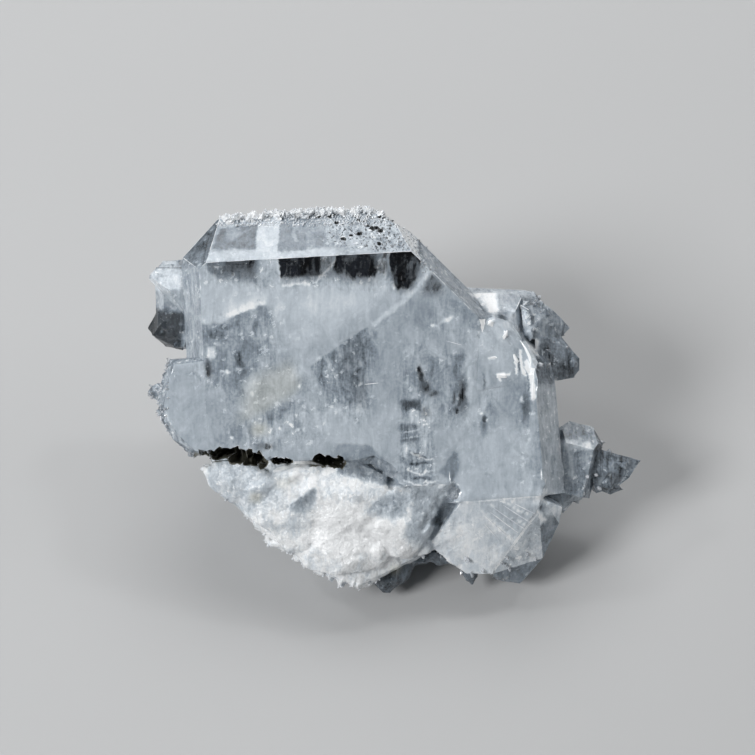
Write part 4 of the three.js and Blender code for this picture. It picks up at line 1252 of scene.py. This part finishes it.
@dataclass
class ClusterBody:
    """The whole cluster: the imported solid's shape with its broken surfaces worked finer.

    Attributes:
        zone_edges: Longest edge on the painted surfaces, in millimetres.
        paint_edges: Longest edge there where the paint changes, in millimetres.
        fine_edge: Longest edge on rough surfaces, in millimetres.
        hidden_edge: Longest edge on the rough surfaces of the hidden side, in millimetres.
        coarse_edge: Longest edge on other flat faces, in millimetres.
        hidden_depth: The hidden side lies below this w.
        slack: An edge may be this much longer before it is split.
        rounds: How often long edges may be split.
        paint_rounds: How often edges are split where the paint changes.
        paint_step: The smallest change of paint along an edge that counts.
        flat_area: The smallest area of a flat crystal face, in square millimetres.
        flatness: Least cosine between two triangles of one flat stretch.
        crisp: Edges sharper than this stay sharp, in degrees.
        worn_steps: How often the broken mass is smoothed before it is roughened.
        healed: Creases that are grown over: from one u, v to another, and how far to each side.
        healed_steps: How often those creases are smoothed.
        chips: Sizes of the chips on broken surfaces, in millimetres, and how high each kind stands.
        seed: Start of the random draws.
        noise_seed: Start of the noise that chips the surface and moves the fog's edges.
        paint: Where the quartz is milky and where it is clear.
        finish: What it is made of.
    """

    zone_edges: Mapping[Zone, float] = field(
        default_factory=lambda: {
            Zone.BROAD: 0.62, Zone.END: 0.5, Zone.STEP: 0.5, Zone.FOOT: 0.9, Zone.STRIP: 0.9,
            Zone.SIDE: 1.2, Zone.GLINT: 0.3,
        }
    )
    paint_edges: Mapping[Zone, float] = field(
        default_factory=lambda: {
            Zone.BROAD: 0.27, Zone.END: 0.22, Zone.STEP: 0.25, Zone.FOOT: 0.45,
            Zone.SIDE: 0.6, Zone.MASS: 0.4,
        }
    )
    fine_edge: float = 0.5
    hidden_edge: float = 0.75
    coarse_edge: float = 3.0
    hidden_depth: float = -10.4
    slack: float = 1.35
    rounds: int = 11
    paint_rounds: int = 2
    paint_step: float = 0.07
    flat_area: float = 5.0
    flatness: float = 0.9998
    crisp: float = 24.0
    worn_steps: int = 3
    healed: tuple[tuple[Spread, Spread, float], ...] = (
        ((8.6, -13.6), (21.8, -13.3), 1.3),
        ((14.8, -24.0), (21.0, -16.4), 0.9),
        ((21.0, -16.4), (21.8, -13.3), 0.9),
        ((12.2, 9.4), (13.4, 11.8), 0.9),
        ((13.4, 11.8), (17.2, 11.4), 0.8),
        ((17.2, 11.4), (18.8, 8.6), 0.7),
        ((-27.2, -9.6), (-22.8, -8.9), 0.8),
        ((-16.8, -10.3), (-10.2, -9.6), 1.0),
        ((-6.0, -9.2), (-2.0, -11.6), 0.8),
    )
    healed_steps: int = 10
    chips: tuple[Spread, ...] = ((2.3, 0.5), (1.1, 0.35), (0.6, 0.15))
    seed: int = 5
    noise_seed: int = 1795497221
    paint: PlatePaint = field(default_factory=PlatePaint)
    finish: QuartzFinish = field(default_factory=QuartzFinish)

    def build(self, node: bpy.types.Object, low: Vector, high: Vector) -> bpy.types.Object:
        """Makes the piece and dresses it.

        Args:
            node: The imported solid's object.
            low: Lowest corner of the box that the piece keeps inside.
            high: Highest corner of that box.

        Returns:
            The finished object.
        """
        noise.seed_set(self.noise_seed)
        mesh = packed_mesh(node)
        self.mark_faces(mesh)
        self._refine(mesh)
        self._roughen(mesh, low, high)
        data = bpy.data.meshes.new("cluster_body")
        for face in mesh.faces:
            face.smooth = True
        for edge in mesh.edges:
            edge.smooth = len(edge.link_faces) == 2 and edge.calc_face_angle(0.0) < math.radians(self.crisp)
        mesh.to_mesh(data)
        mesh.free()
        self._paint(data)
        return add_piece("cluster_body", data, self.finish.material("clear_and_milky_quartz"))

    def mark_faces(self, mesh: bmesh.types.BMesh) -> None:
        """Finds the flat stretches of the surface, and stores each one's area, tone and zone on its faces."""
        area_layer = mesh.faces.layers.float.new("flat_area")
        tone_layer = mesh.faces.layers.float.new("facet_tone")
        zone_layer = mesh.faces.layers.int.new("zone")
        draws = random.Random(self.seed)
        turned = PLATE.turn().transposed()
        for group in self._flat_stretches(mesh):
            heading = turned @ group[0].normal
            areas = [face.calc_area() for face in group]
            area = sum(areas)
            shares = (face.calc_center_median() * part for face, part in zip(group, areas))
            middle = sum(shares, Vector()) / area
            place = Vector(PLATE.from_row(np.array([middle[:]]))[0])
            zone = self.zone_of(place, heading, area / MM**2)
            tone = draws.random()
            for face in group:
                face[area_layer] = area / MM**2
                face[tone_layer] = tone
                face[zone_layer] = zone.value

    def _flat_stretches(self, mesh: bmesh.types.BMesh) -> Iterator[list[bmesh.types.BMFace]]:
        """Gives the groups of neighbouring faces that lie in one plane."""
        seen: set[int] = set()
        mesh.faces.ensure_lookup_table()
        mesh.faces.index_update()
        for start in mesh.faces:
            if start.index in seen:
                continue
            group, waiting = [], [start]
            seen.add(start.index)
            while waiting:
                face = waiting.pop()
                group.append(face)
                for other in (other for edge in face.edges for other in edge.link_faces):
                    if other.index not in seen and other.normal.dot(start.normal) > self.flatness:
                        seen.add(other.index)
                        waiting.append(other)
            yield group

    @staticmethod
    def zone_of(place: Vector, heading: Vector, area: float) -> Zone:
        """Tells which kind of surface a flat stretch belongs to.

        Args:
            place: Its middle, u, v, w.
            heading: Its direction in the plate's frame.
            area: Its area in square millimetres.

        Returns:
            The zone.
        """
        u, v, w = place
        slanted = u + v * 0.25
        on_mass = v < -8.6 and slanted < 6.4
        on_lip = heading.z > 0.25 and w > -2.0 and v < -7.9
        in_crevice = -28.6 < u < -5.6 and -10.2 < v < -6.0 and w < -0.1
        right_of_mass = v < -12 and slanted > 4
        blade_side = 18.8 + (8.0 - v) * 0.22
        rules = (
            (Zone.BROAD, heading.z > 0.98 and w > -2.4 and area > 20 and not on_mass),
            (Zone.END, v > 18 and heading.y > 0.5 and heading.z > 0.6 and area > 40),
            (Zone.PIT, v > 20.2 and -12 < u < 3.5 and w > -5.2 and area < 1.2 and v + w * 0.8 < 22.4),
            (Zone.CREST, v > 23.6 and w > -8 and area < 20),
            (Zone.CREVICE, in_crevice and abs(heading.z) < 0.7 and area < 12 and not on_lip),
            (Zone.STRIP, right_of_mass and heading.z > 0.6 and area > 25 and heading.x > 0.12),
            (Zone.FOOT, right_of_mass and heading.z > 0.6 and area > 25),
            (Zone.UNDER, v < -20.5 and w < -4.6 and u > -6),
            (Zone.MASS, on_mass and w > -11.5),
            (Zone.GLINT, 12.4 < u < blade_side and -0.8 < v < 13 and w > -7 and area < 1.6),
            (Zone.STEP, 11.4 < u < 20.6 and -0.8 < v < 12.6 and w > -3.4 and heading.z > 0.6),
            (Zone.RIM, u < -26.5 and -9 < v < 6.4 and w > -7 and area < 8),
            (Zone.BACK, w < -10.4),
        )
        return next((zone for zone, fits in rules if fits), Zone.SIDE)

    @staticmethod
    def sugared(places: np.ndarray) -> np.ndarray:
        """Tells how far each place, u, v, w, belongs to the broken mass, from 0 to 1."""
        u, v, w = places.T
        return smooth(v, -8.3, -9.3) * smooth(u + v * 0.25, 6.2, 5.2) * smooth(w, -13.0, -11.6)

    def grown_over(self, places: np.ndarray) -> np.ndarray:
        """Tells how near each place, u, v, w, is to a crease that is grown over, from 0 to 1."""
        near = np.zeros(len(places))
        for first, last, reach in self.healed:
            start, along = np.array(first), np.array(last) - np.array(first)
            share = np.clip((places[:, :2] - start) @ along / (along @ along), 0.0, 1.0)
            away = np.linalg.norm(places[:, :2] - start - share[:, None] * along, axis=1)
            near = np.maximum(near, smooth(away, reach, reach * 0.6))
        return near * (places[:, 2] > -6.5)

    def amount(self, places: np.ndarray, areas: np.ndarray, heights: np.ndarray) -> np.ndarray:
        """Works out how far each vertex may move.

        Args:
            places: u, v, w of the vertices.
            areas: The smallest flat stretch that each vertex belongs to, in square millimetres.
            heights: Height of the vertices over the ground, in millimetres.

        Returns:
            The reach of the roughening at each vertex, in millimetres.
        """
        u, v, w = places.T
        reaches = [
            0.14 * (areas < self.flat_area) * smooth(v, 25.5, 23.5),
            0.34 * self.sugared(places),
            0.6 * smooth(heights, 17.0, 12.0) * smooth(w, -10.2, -11.8),
            0.2 * np.maximum(smooth(u, 19.0, 21.0) * smooth(v, 1.8, 2.6), smooth(u, 25.4, 27.0)),
            0.2 * smooth(u, -29.6, -31.0) * smooth(v, 5.8, 7.0),
            0.26 * smooth(u, 12.4, 14.4) * smooth(v, -16.6, -18.4),
        ]
        return np.maximum.reduce(reaches) * smooth(heights, 0.05, 0.8)

    @staticmethod
    def _spots(mesh: bmesh.types.BMesh) -> np.ndarray:
        """Gives the vertices' places as rows, in metres."""
        return np.array([vertex.co[:] for vertex in mesh.verts])

    def _refine(self, mesh: bmesh.types.BMesh) -> None:
        """Splits long edges until the rough and the painted surfaces have enough vertices."""
        area_layer = mesh.faces.layers.float["flat_area"]
        zone_layer = mesh.faces.layers.int["zone"]
        self._even_out(mesh)
        for _ in range(self.rounds):
            points = self._spots(mesh)
            mesh.verts.index_update()
            places = PLATE.from_row(points)
            amount = self.amount(places, self._least_areas(mesh), points[:, 2] / MM)
            rough = np.maximum(amount, self.grown_over(places))
            fine = np.where(places[:, 2] < self.hidden_depth, self.hidden_edge, self.fine_edge)
            long = []
            for edge in mesh.edges:
                first, second = edge.verts[0].index, edge.verts[1].index
                smallest = min((face[area_layer] for face in edge.link_faces), default=0.0)
                is_rough = max(rough[first], rough[second]) > 0.16 or smallest < self.flat_area
                limit = min(fine[first], fine[second]) if is_rough else self.coarse_edge
                for face in edge.link_faces:
                    limit = min(limit, self.zone_edges.get(Zone(face[zone_layer]), limit))
                if edge.calc_length() > limit * MM * self.slack:
                    long.append(edge)
            if not long:
                break
            self._split(mesh, long)
        for _ in range(self.paint_rounds):
            self._split(mesh, self._blurred(mesh))

    def _blurred(self, mesh: bmesh.types.BMesh) -> list[bmesh.types.BMEdge]:
        """Finds the edges that are too long to show how the paint changes along them."""
        zone_layer = mesh.faces.layers.int["zone"]
        mesh.verts.index_update()
        places = PLATE.from_row(self._spots(mesh))
        wander = self._wander(places)
        found: list[bmesh.types.BMEdge] = []
        for zone, limit in self.paint_edges.items():
            edges = [
                edge for edge in mesh.edges
                if edge.calc_length() > limit * MM * self.slack
                and any(face[zone_layer] == zone.value for face in edge.link_faces)
            ]
            if not edges:
                continue
            first, second = np.array([[vertex.index for vertex in edge.verts] for edge in edges]).T
            levels = []
            for share in np.linspace(0.0, 1.0, 5):
                spots = places[first] * (1 - share) + places[second] * share
                drift = wander[first] * (1 - share) + wander[second] * share
                look = self.paint.look(zone, spots, drift, np.zeros(len(spots)))
                levels.append((look.milk, look.clear, look.busy * 0.5))
            change = np.ptp(np.array(levels), axis=0).max(axis=0)
            found.extend(edge for edge, step in zip(edges, change) if step > self.paint_step)
        return list(dict.fromkeys(found))

    def _split(self, mesh: bmesh.types.BMesh, long: list[bmesh.types.BMEdge]) -> None:
        """Halves edges and evens out the triangles around them."""
        bmesh.ops.subdivide_edges(mesh, edges=long, cuts=1, use_grid_fill=False)
        bmesh.ops.triangulate(mesh, faces=[face for face in mesh.faces if len(face.verts) > 3])
        self._even_out(mesh)

    @staticmethod
    def _even_out(mesh: bmesh.types.BMesh) -> None:
        """Turns the edges inside flat stretches, so that there are fewer thin triangles."""
        layer = mesh.faces.layers.float["facet_tone"]
        inner = [
            edge for edge in mesh.edges
            if len(edge.link_faces) == 2 and edge.link_faces[0][layer] == edge.link_faces[1][layer]
        ]
        bmesh.ops.beautify_fill(mesh, faces=mesh.faces, edges=inner, method="ANGLE")

    @staticmethod
    def _least_areas(mesh: bmesh.types.BMesh) -> np.ndarray:
        """Gives the smallest flat stretch that each vertex belongs to, in square millimetres."""
        layer = mesh.faces.layers.float["flat_area"]
        return np.array(
            [min((face[layer] for face in vertex.link_faces), default=0.0) for vertex in mesh.verts]
        )

    def _roughen(self, mesh: bmesh.types.BMesh, low: Vector, high: Vector) -> None:
        """Moves the vertices of the rough surfaces in and out.

        Args:
            mesh: The refined mesh.
            low: Lowest corner of the box that the vertices keep inside.
            high: Highest corner of that box.
        """
        mesh.verts.ensure_lookup_table()
        places = PLATE.from_row(self._spots(mesh))
        rounds = ((self.sugared(places), self.worn_steps), (self.grown_over(places), self.healed_steps))
        for share, steps in rounds:
            soft = [mesh.verts[index] for index in np.nonzero(share > 0.3)[0]]
            for _ in range(steps):
                bmesh.ops.smooth_vert(
                    mesh, verts=soft, factor=0.5, use_axis_x=True, use_axis_y=True, use_axis_z=True
                )
        mesh.normal_update()
        points = self._spots(mesh)
        amount = self.amount(PLATE.from_row(points), self._least_areas(mesh), points[:, 2] / MM)
        for vertex, reach in zip(mesh.verts, amount):
            if reach < 0.02:
                continue
            height = sum(self._chipped(vertex.co / MM, size) * part for size, part in self.chips)
            vertex.co += vertex.normal * (height - 0.25) * reach * MM
            keep_inside(vertex.co, low, high)

    @staticmethod
    def _chipped(place: Vector, size: float) -> float:
        """Gives the height of a surface of small flat chips.

        Args:
            place: Where it is read, in millimetres.
            size: Size of the chips, in millimetres.

        Returns:
            A height around 0, about 1 from top to bottom.
        """
        _, middles = noise.voronoi(place / size)
        middle = Vector(middles[0])
        tip = noise.noise_vector(middle * 7.31 + Vector((3.1, 1.7, 9.2)))
        return (place / size - middle).dot(tip.normalized()) * 0.7 + noise.noise(middle * 5.3) * 0.5

    def _paint(self, data: bpy.types.Mesh) -> None:
        """Stores the quartz's look on the mesh's corners.

        Args:
            data: The finished mesh.
        """
        points = np.empty(len(data.vertices) * 3)
        data.vertices.foreach_get("co", points)
        places = PLATE.from_row(points.reshape(-1, 3))
        wander = self._wander(places)
        corner_vertex = np.empty(len(data.loops), dtype=np.int32)
        data.loops.foreach_get("vertex_index", corner_vertex)
        corners_of = np.empty(len(data.polygons), dtype=np.int32)
        data.polygons.foreach_get("loop_total", corners_of)
        zones = np.empty(len(data.polygons), dtype=np.int32)
        data.attributes["zone"].data.foreach_get("value", zones)
        tones = np.empty(len(data.polygons), dtype=np.float32)
        data.attributes["facet_tone"].data.foreach_get("value", tones)
        corner_zone, corner_tone = np.repeat(zones, corners_of), np.repeat(tones, corners_of)
        paint = np.zeros((len(data.loops), 3))
        shade = np.zeros((len(data.loops), 3))
        for zone in Zone:
            chosen = np.nonzero(corner_zone == zone.value)[0]
            vertices = corner_vertex[chosen]
            spots, drift = places[vertices], wander[vertices]
            look = self.paint.look(zone, spots, drift, corner_tone[chosen])
            warm = self.paint.iron(zone, spots, drift, look)
            paint[chosen] = np.column_stack([look.milk, look.clear, look.rough])
            shade[chosen] = np.column_stack([look.dark, warm, look.busy])
        for name, values in (("quartz_paint", paint), ("quartz_shade", shade)):
            layer = data.attributes.new(name, "FLOAT_VECTOR", "CORNER")
            layer.data.foreach_set("vector", values.astype(np.float32).ravel())
        for name in ("zone", "facet_tone", "flat_area"):
            data.attributes.remove(data.attributes[name])

    @staticmethod
    def _wander(places: np.ndarray) -> np.ndarray:
        """Gives each place a small offset that makes the edges of the fog wander."""
        shift = Vector((9.0, 4.0, 2.0))
        return np.array([
            tuple(noise.noise_vector(spot * 0.5) * 0.24 + noise.noise_vector(spot * 1.9 + shift) * 0.17)
            for spot in map(Vector, places)
        ])


@dataclass
class HighlightRidges:
    """Thin ragged ridges along the chipped edges between flat crystal faces, painted white as highlights.

    Attributes:
        least_area: The smallest flat face whose edges count, in square millimetres.
        least_angle: The smallest angle of such an edge, in degrees.
        pitch: Length of one step of a ridge, in millimetres.
        radius: Smallest and largest radius of a ridge, in millimetres.
        least_height: Ridges stay this far over the ground, in millimetres.
        healed: Stretches where the edges are healed over: lowest u, lowest v, highest u, highest v.
        hairlines: Steps and healed cracks on the front, painted as bright highlights: one u, v, another one
            and the radius, in millimetres.
        finish: What they are made of.
    """

    least_area: float = 1.6
    least_angle: float = 22.0
    pitch: float = 0.6
    radius: Spread = (0.02, 0.075)
    least_height: float = 0.6
    healed: tuple[tuple[float, float, float, float], ...] = (
        (10.0, -2.0, 21.0, 12.4),
        (20.0, -16.0, 26.0, 2.0),
        (4.0, -28.0, 24.0, -12.0),
        (-37.0, -11.0, -25.0, 8.0),
        (23.0, -18.0, 37.0, -5.0),
        (-30.0, 8.0, -25.2, 18.4),
    )
    hairlines: tuple[tuple[Spread, Spread, float], ...] = (
        ((15.6, -15.0), (19.6, -17.6), 0.09),
        ((14.0, -15.2), (18.6, -18.4), 0.08),
        ((12.6, -16.2), (16.4, -19.6), 0.07),
        ((13.8, -16.0), (17.8, -19.0), 0.08),
        ((12.9, -17.6), (15.2, -20.2), 0.06),
        ((17.2, -14.8), (20.0, -16.2), 0.07),
        ((7.6, 8.0), (9.8, 7.4), 0.03),
        ((-3.8, 1.9), (-1.9, 2.1), 0.05),
        ((20.8, -10.0), (20.9, -11.4), 0.07),
    )
    finish: RidgeHighlightFinish = field(default_factory=RidgeHighlightFinish)

    def build(
        self, node: bpy.types.Object, worked: ClusterBody, low: Vector, high: Vector
    ) -> bpy.types.Object:
        """Makes the ridges and dresses them.

        Args:
            node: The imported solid's object.
            worked: The body, which knows where its surface was roughened.
            low: Lowest corner of the box that they keep inside.
            high: Highest corner of that box.

        Returns:
            The finished object.
        """
        mesh = packed_mesh(node)
        worked.mark_faces(mesh)
        layer = mesh.faces.layers.float["flat_area"]
        shell = Shell()
        for edge in mesh.edges:
            sides = edge.link_faces
            if len(sides) != 2 or edge.calc_face_angle_signed(0.0) < math.radians(self.least_angle):
                continue
            if min(face[layer] for face in sides) < self.least_area:
                continue
            outward = (sides[0].normal + sides[1].normal).normalized()
            self._ridge([vertex.co.copy() for vertex in edge.verts], outward, worked, shell)
        tree = BVHTree.FromBMesh(mesh)
        for first, last, reach in self.hairlines:
            self._hairline(np.array(first), np.array(last), reach, tree, shell)
        mesh.free()
        for corner in shell.corners:
            keep_inside(corner, low, high)
        return shell.piece("highlight_ridges", self.finish.material("ridge_highlight_quartz"))

    def _ridge(self, ends: list[Vector], outward: Vector, worked: ClusterBody, shell: Shell) -> None:
        """Adds a ridge along one edge.

        Args:
            ends: The edge's two ends.
            outward: The direction between its two faces.
            worked: The body, which knows where its surface was roughened.
            shell: The mesh so far.
        """
        along = ends[1] - ends[0]
        steps = max(1, round(along.length / (self.pitch * MM)))
        across = along.normalized().cross(outward)
        rings: list[int] = []
        for step in range(steps + 1):
            place = ends[0] + along * (step / steps)
            wear = noise.noise(place / MM * 0.5) * 0.9 + noise.noise(place / MM * 1.9) * 0.5 + 0.35
            if wear < 0.0 or place.z < self.least_height * MM or self._is_bare(place, worked):
                shell.close_ridge(rings)
                rings = []
                continue
            radius = (self.radius[0] + (self.radius[1] - self.radius[0]) * min(wear, 1.0)) * MM
            rings.append(shell.add_ring(place, outward * radius, across * radius, 0.6))
        shell.close_ridge(rings)

    def _is_bare(self, place: Vector, worked: ClusterBody) -> bool:
        """Tells whether a place has no ridge, because it is roughened or healed over."""
        spot = PLATE.from_row(np.array([place[:]]))
        u, v = spot[0, :2]
        if any(left < u < right and under < v < over for left, under, right, over in self.healed):
            return True
        return worked.amount(spot, np.array([99.0]), np.array([place.z / MM]))[0] > 0.05

    def _hairline(
        self, first: np.ndarray, last: np.ndarray, reach: float, tree: BVHTree, shell: Shell
    ) -> None:
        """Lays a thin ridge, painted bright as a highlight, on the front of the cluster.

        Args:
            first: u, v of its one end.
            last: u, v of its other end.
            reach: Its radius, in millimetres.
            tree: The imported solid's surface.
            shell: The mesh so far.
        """
        run, lift = last - first
        steps = max(2, round(math.hypot(run, lift) / self.pitch))
        inward, across = PLATE.direction((0, 0, -1)), PLATE.direction((lift, -run, 0))
        rings: list[int] = []
        for step in range(steps + 1):
            u, v = first + (last - first) * step / steps
            place, normal, _, _ = tree.ray_cast(PLATE.to_row((u, v, 20.0)), inward)
            if place is None:
                continue
            radius = reach * (0.5 + 0.7 * math.sin(math.pi * step / steps)) * MM
            rings.append(shell.add_ring(place, normal * radius, across * radius, 0.5))
        shell.close_ridge(rings)


@dataclass(frozen=True)
class DruseBed:
    """A stretch of the surface that fine crystals cover.

    Attributes:
        low: Lowest u, v, w of the stretch.
        high: Highest u, v, w.
        count: How many crystals stand on it.
        radius: Smallest and largest radius, in millimetres.
        heading: The direction that they lean towards, in the plate's frame.
    """

    low: Place
    high: Place
    count: int
    radius: Spread
    heading: Place


@dataclass
class Druse:
    """The fine crystals on the crest, the rims and the hidden side.

    Attributes:
        beds: The stretches that they cover.
        seed: Start of the random draws.
        spacing: Least distance between two crystals, in radii.
        least_height: Their feet stand this far over the ground, in millimetres.
        finish: What they are made of.
    """

    beds: tuple[DruseBed, ...] = (
        DruseBed((-25.0, 24.4, -9.0), (1.6, 28.0, 1.0), 1100, (0.06, 0.17), (0.1, 0.6, 0.9)),
        DruseBed((-1.5, 20.8, -7.0), (5.5, 25.0, 1.0), 40, (0.07, 0.16), (0.5, 0.7, 0.6)),
        DruseBed((4.0, 17.4, -7.0), (6.4, 20.8, 1.0), 20, (0.07, 0.16), (0.5, 0.7, 0.6)),
        DruseBed((-36.0, -9.0, -8.0), (-31.2, 6.6, -0.5), 120, (0.10, 0.26), (-0.8, 0.2, 0.6)),
        DruseBed((-31.2, -9.6, -7.0), (-25.5, -6.2, -0.5), 50, (0.10, 0.24), (-0.6, -0.6, 0.6)),
        DruseBed((19.0, 2.0, -11.0), (27.5, 15.0, 0.5), 20, (0.16, 0.4), (0.6, 0.5, 0.5)),
        DruseBed((-27.0, -28.0, -9.0), (-1.0, -9.0, -3.0), 150, (0.08, 0.2), (-0.5, -0.5, 0.4)),
        DruseBed((4.0, -28.0, -9.5), (22.0, -21.5, -3.0), 24, (0.15, 0.4), (0.1, -1.0, 0.1)),
        DruseBed((22.0, -16.0, -11.0), (33.0, -6.0, -3.0), 14, (0.15, 0.4), (0.5, -0.3, 0.4)),
        DruseBed((-24.0, -14.0, -26.0), (22.0, 20.0, -11.2), 220, (0.4, 1.5), (0.0, 0.5, -0.9)),
    )
    seed: int = 11
    spacing: float = 1.5
    least_height: float = 1.5
    finish: DruseFinish = field(default_factory=DruseFinish)

    def build(self, body: bpy.types.Object, low: Vector, high: Vector) -> bpy.types.Object:
        """Makes the crystals on the body's surface and dresses them.

        Args:
            body: The cluster's body.
            low: Lowest corner of the box that they keep inside.
            high: Highest corner of that box.

        Returns:
            The finished object.
        """
        draws = random.Random(self.seed)
        vertices = body.data.vertices
        points = np.array([vertex.co[:] for vertex in vertices])
        places = PLATE.from_row(points)
        shell = Shell()
        for bed in self.beds:
            inside = np.all((places > np.array(bed.low)) & (places < np.array(bed.high)), axis=1)
            inside &= points[:, 2] > self.least_height * MM
            chosen = list(np.nonzero(inside)[0])
            draws.shuffle(chosen)
            kept: list[Vector] = []
            for index in chosen:
                if len(kept) >= bed.count:
                    break
                radius = draws.uniform(*bed.radius) * MM
                foot = vertices[index].co
                if any((foot - other).length < radius * self.spacing for other in kept):
                    continue
                crystal = self._crystal(foot, vertices[index].normal, radius, bed.heading, draws)
                if all(low[axis] < point[axis] < high[axis] for point in crystal for axis in range(3)):
                    kept.append(foot.copy())
                    self._add(crystal, shell)
        return shell.piece("fine_crystals", self.finish.material("fine_quartz"))

    @staticmethod
    def _crystal(
        foot: Vector, normal: Vector, radius: float, heading: Place, draws: random.Random
    ) -> list[Vector]:
        """Gives the corners of one pointed crystal: six at its root, six at its shoulder and the tip.

        Args:
            foot: Where it stands.
            normal: The surface's direction there.
            radius: Its radius, in metres.
            heading: The direction that it leans towards, in the plate's frame.
            draws: The random draws.

        Returns:
            Thirteen corners in the row frame.
        """
        wander = Vector([draws.gauss(0, 1) for _ in range(3)]) * 0.32
        axis = (normal * 0.9 + PLATE.direction(heading) * 0.7 + wander).normalized()
        side = axis.orthogonal().normalized()
        side.rotate(Matrix.Rotation(draws.uniform(0, math.tau), 3, axis))
        across = axis.cross(side)
        length = radius * draws.uniform(1.2, 2.6)
        squash = draws.uniform(0.55, 1.0)
        turns = [math.radians(60 * i) for i in range(6)]
        ring = [side * math.cos(turn) + across * math.sin(turn) * squash for turn in turns]
        root = [foot - axis * radius * 0.9 + part * radius for part in ring]
        shoulder = [
            foot + axis * (length - radius * draws.uniform(0.8, 1.2)) + part * radius * 0.96 for part in ring
        ]
        return [*root, *shoulder, foot + axis * length]

    @staticmethod
    def _add(crystal: list[Vector], shell: Shell) -> None:
        """Adds one crystal of thirteen corners to the mesh.

        Args:
            crystal: Its corners.
            shell: The mesh so far.
        """
        first = len(shell.corners)
        shell.corners += crystal
        shell.faces.append(tuple(first + i for i in reversed(range(6))))
        for i in range(6):
            following = (i + 1) % 6
            shell.faces.append((first + i, first + following, first + 6 + following, first + 6 + i))
            shell.faces.append((first + 6 + i, first + 6 + following, first + 12))


# ---------------------------------------------------------------- studio


@dataclass(frozen=True)
class Lamp:
    """One soft lamp.

    Attributes:
        name: Its name.
        heading: The direction from what it faces to the lamp.
        distance: How far away it hangs, in metres.
        size: Its width and height, in metres.
        power: Its power, in watts.
    """

    name: str
    heading: Place
    distance: float
    size: Spread
    power: float


@dataclass
class Studio:
    """Pale floor, soft lamps, plain surroundings and the camera.

    Attributes:
        floor_size: Side of the floor, in metres.
        floor: What it is made of.
        surroundings: Brightness of the plain surroundings.
        surroundings_tint: Their colour.
        aim: The point that the lamps face.
        lamps: The lamps.
        eye: The camera's place in the plate's frame, in millimetres. It looks square at the plate.
        lens: The camera's focal length, in millimetres.
        sensor: Width of its sensor, in millimetres.
        reach: Nearest and furthest distance that it sees, in metres.
    """

    floor_size: float = 6.0
    floor: FloorFinish = field(default_factory=FloorFinish)
    surroundings: float = 0.12
    surroundings_tint: Colour = (0.95, 0.98, 1.0)
    aim: Place = (0.0, 0.0, 0.018)
    lamps: tuple[Lamp, ...] = (
        Lamp("key_lamp", (0.0, 0.654, 0.757), 0.62, (0.44, 0.40), 1.9),
        Lamp("front_lamp", (-0.7, -0.35, 0.62), 0.9, (0.3, 0.3), 6.0),
        Lamp("side_lamp", (0.9, 0.1, 0.42), 0.8, (0.35, 0.35), 0.8),
        Lamp("left_spark", (-0.75, 0.25, 0.75), 0.5, (0.05, 0.05), 0.22),
        Lamp("right_spark", (0.55, 0.5, 0.9), 0.5, (0.05, 0.05), 0.22),
    )
    eye: Place = (-2.03, 2.87, 235.0)
    lens: float = 80.0
    sensor: float = 36.0
    reach: Spread = (0.01, 20.0)

    def build(self) -> None:
        """Makes everything around the cluster."""
        self._make_floor()
        self._make_surroundings()
        for lamp in self.lamps:
            self._make_lamp(lamp)
        self._make_camera()

    def _make_floor(self) -> None:
        """Lays the floor."""
        half = self.floor_size / 2
        corners = [(-half, -half, 0), (half, -half, 0), (half, half, 0), (-half, half, 0)]
        data = bpy.data.meshes.new("floor")
        data.from_pydata(corners, [], [(0, 1, 2, 3)])
        piece = add_piece("floor", data, self.floor.material("pale_paper"))

    def _make_surroundings(self) -> None:
        """Gives the scene its plain grey surroundings."""
        world = bpy.data.worlds.new("surroundings")
        world.use_nodes = True
        background = world.node_tree.nodes["Background"]
        background.inputs["Color"].default_value = (*self.surroundings_tint, 1.0)
        background.inputs["Strength"].default_value = self.surroundings
        bpy.context.scene.world = world

    def _make_lamp(self, lamp: Lamp) -> None:
        """Hangs one soft lamp."""
        data = bpy.data.lights.new(lamp.name, "AREA")
        data.shape = "RECTANGLE"
        data.size, data.size_y = lamp.size
        data.energy = lamp.power
        heading = Vector(lamp.heading)
        hung = bpy.data.objects.new(lamp.name, data)
        hung.location = Vector(self.aim) + heading.normalized() * lamp.distance
        hung.rotation_euler = heading.to_track_quat("Z", "Y").to_euler()
        hung.visible_camera = False
        bpy.context.scene.collection.objects.link(hung)

    def _make_camera(self) -> None:
        """Sets up the camera."""
        data = bpy.data.cameras.new("camera")
        data.lens = self.lens
        data.sensor_width = self.sensor
        data.clip_start, data.clip_end = self.reach
        camera = bpy.data.objects.new("camera", data)
        camera.location = PLATE.to_row(self.eye)
        camera.rotation_euler = (math.radians(PLATE.tilt), 0.0, 0.0)
        bpy.context.scene.collection.objects.link(camera)
        bpy.context.scene.camera = camera


# ---------------------------------------------------------------- the whole


def main() -> None:
    """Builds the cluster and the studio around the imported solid."""
    logging.basicConfig(level=logging.INFO, format="%(name)s: %(message)s")
    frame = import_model()
    node = frame["nodes"][NODE]
    low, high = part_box(NODE)

    worked = ClusterBody()
    body = worked.build(node, low, high)
    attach(body, BODY)
    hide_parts(NODE)
    LOG.info("%s: %d faces", body.name, len(body.data.polygons))

    edges = HighlightRidges().build(node, worked, low, high)
    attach(edges, BODY)
    LOG.info("%s: %d faces", edges.name, len(edges.data.polygons))

    druse = Druse().build(body, low, high)
    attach(druse, BODY)
    LOG.info("%s: %d faces", druse.name, len(druse.data.polygons))

    bpy.context.scene.view_settings.view_transform = "Standard"
    Studio().build()


if __name__ == "__main__":
    main()
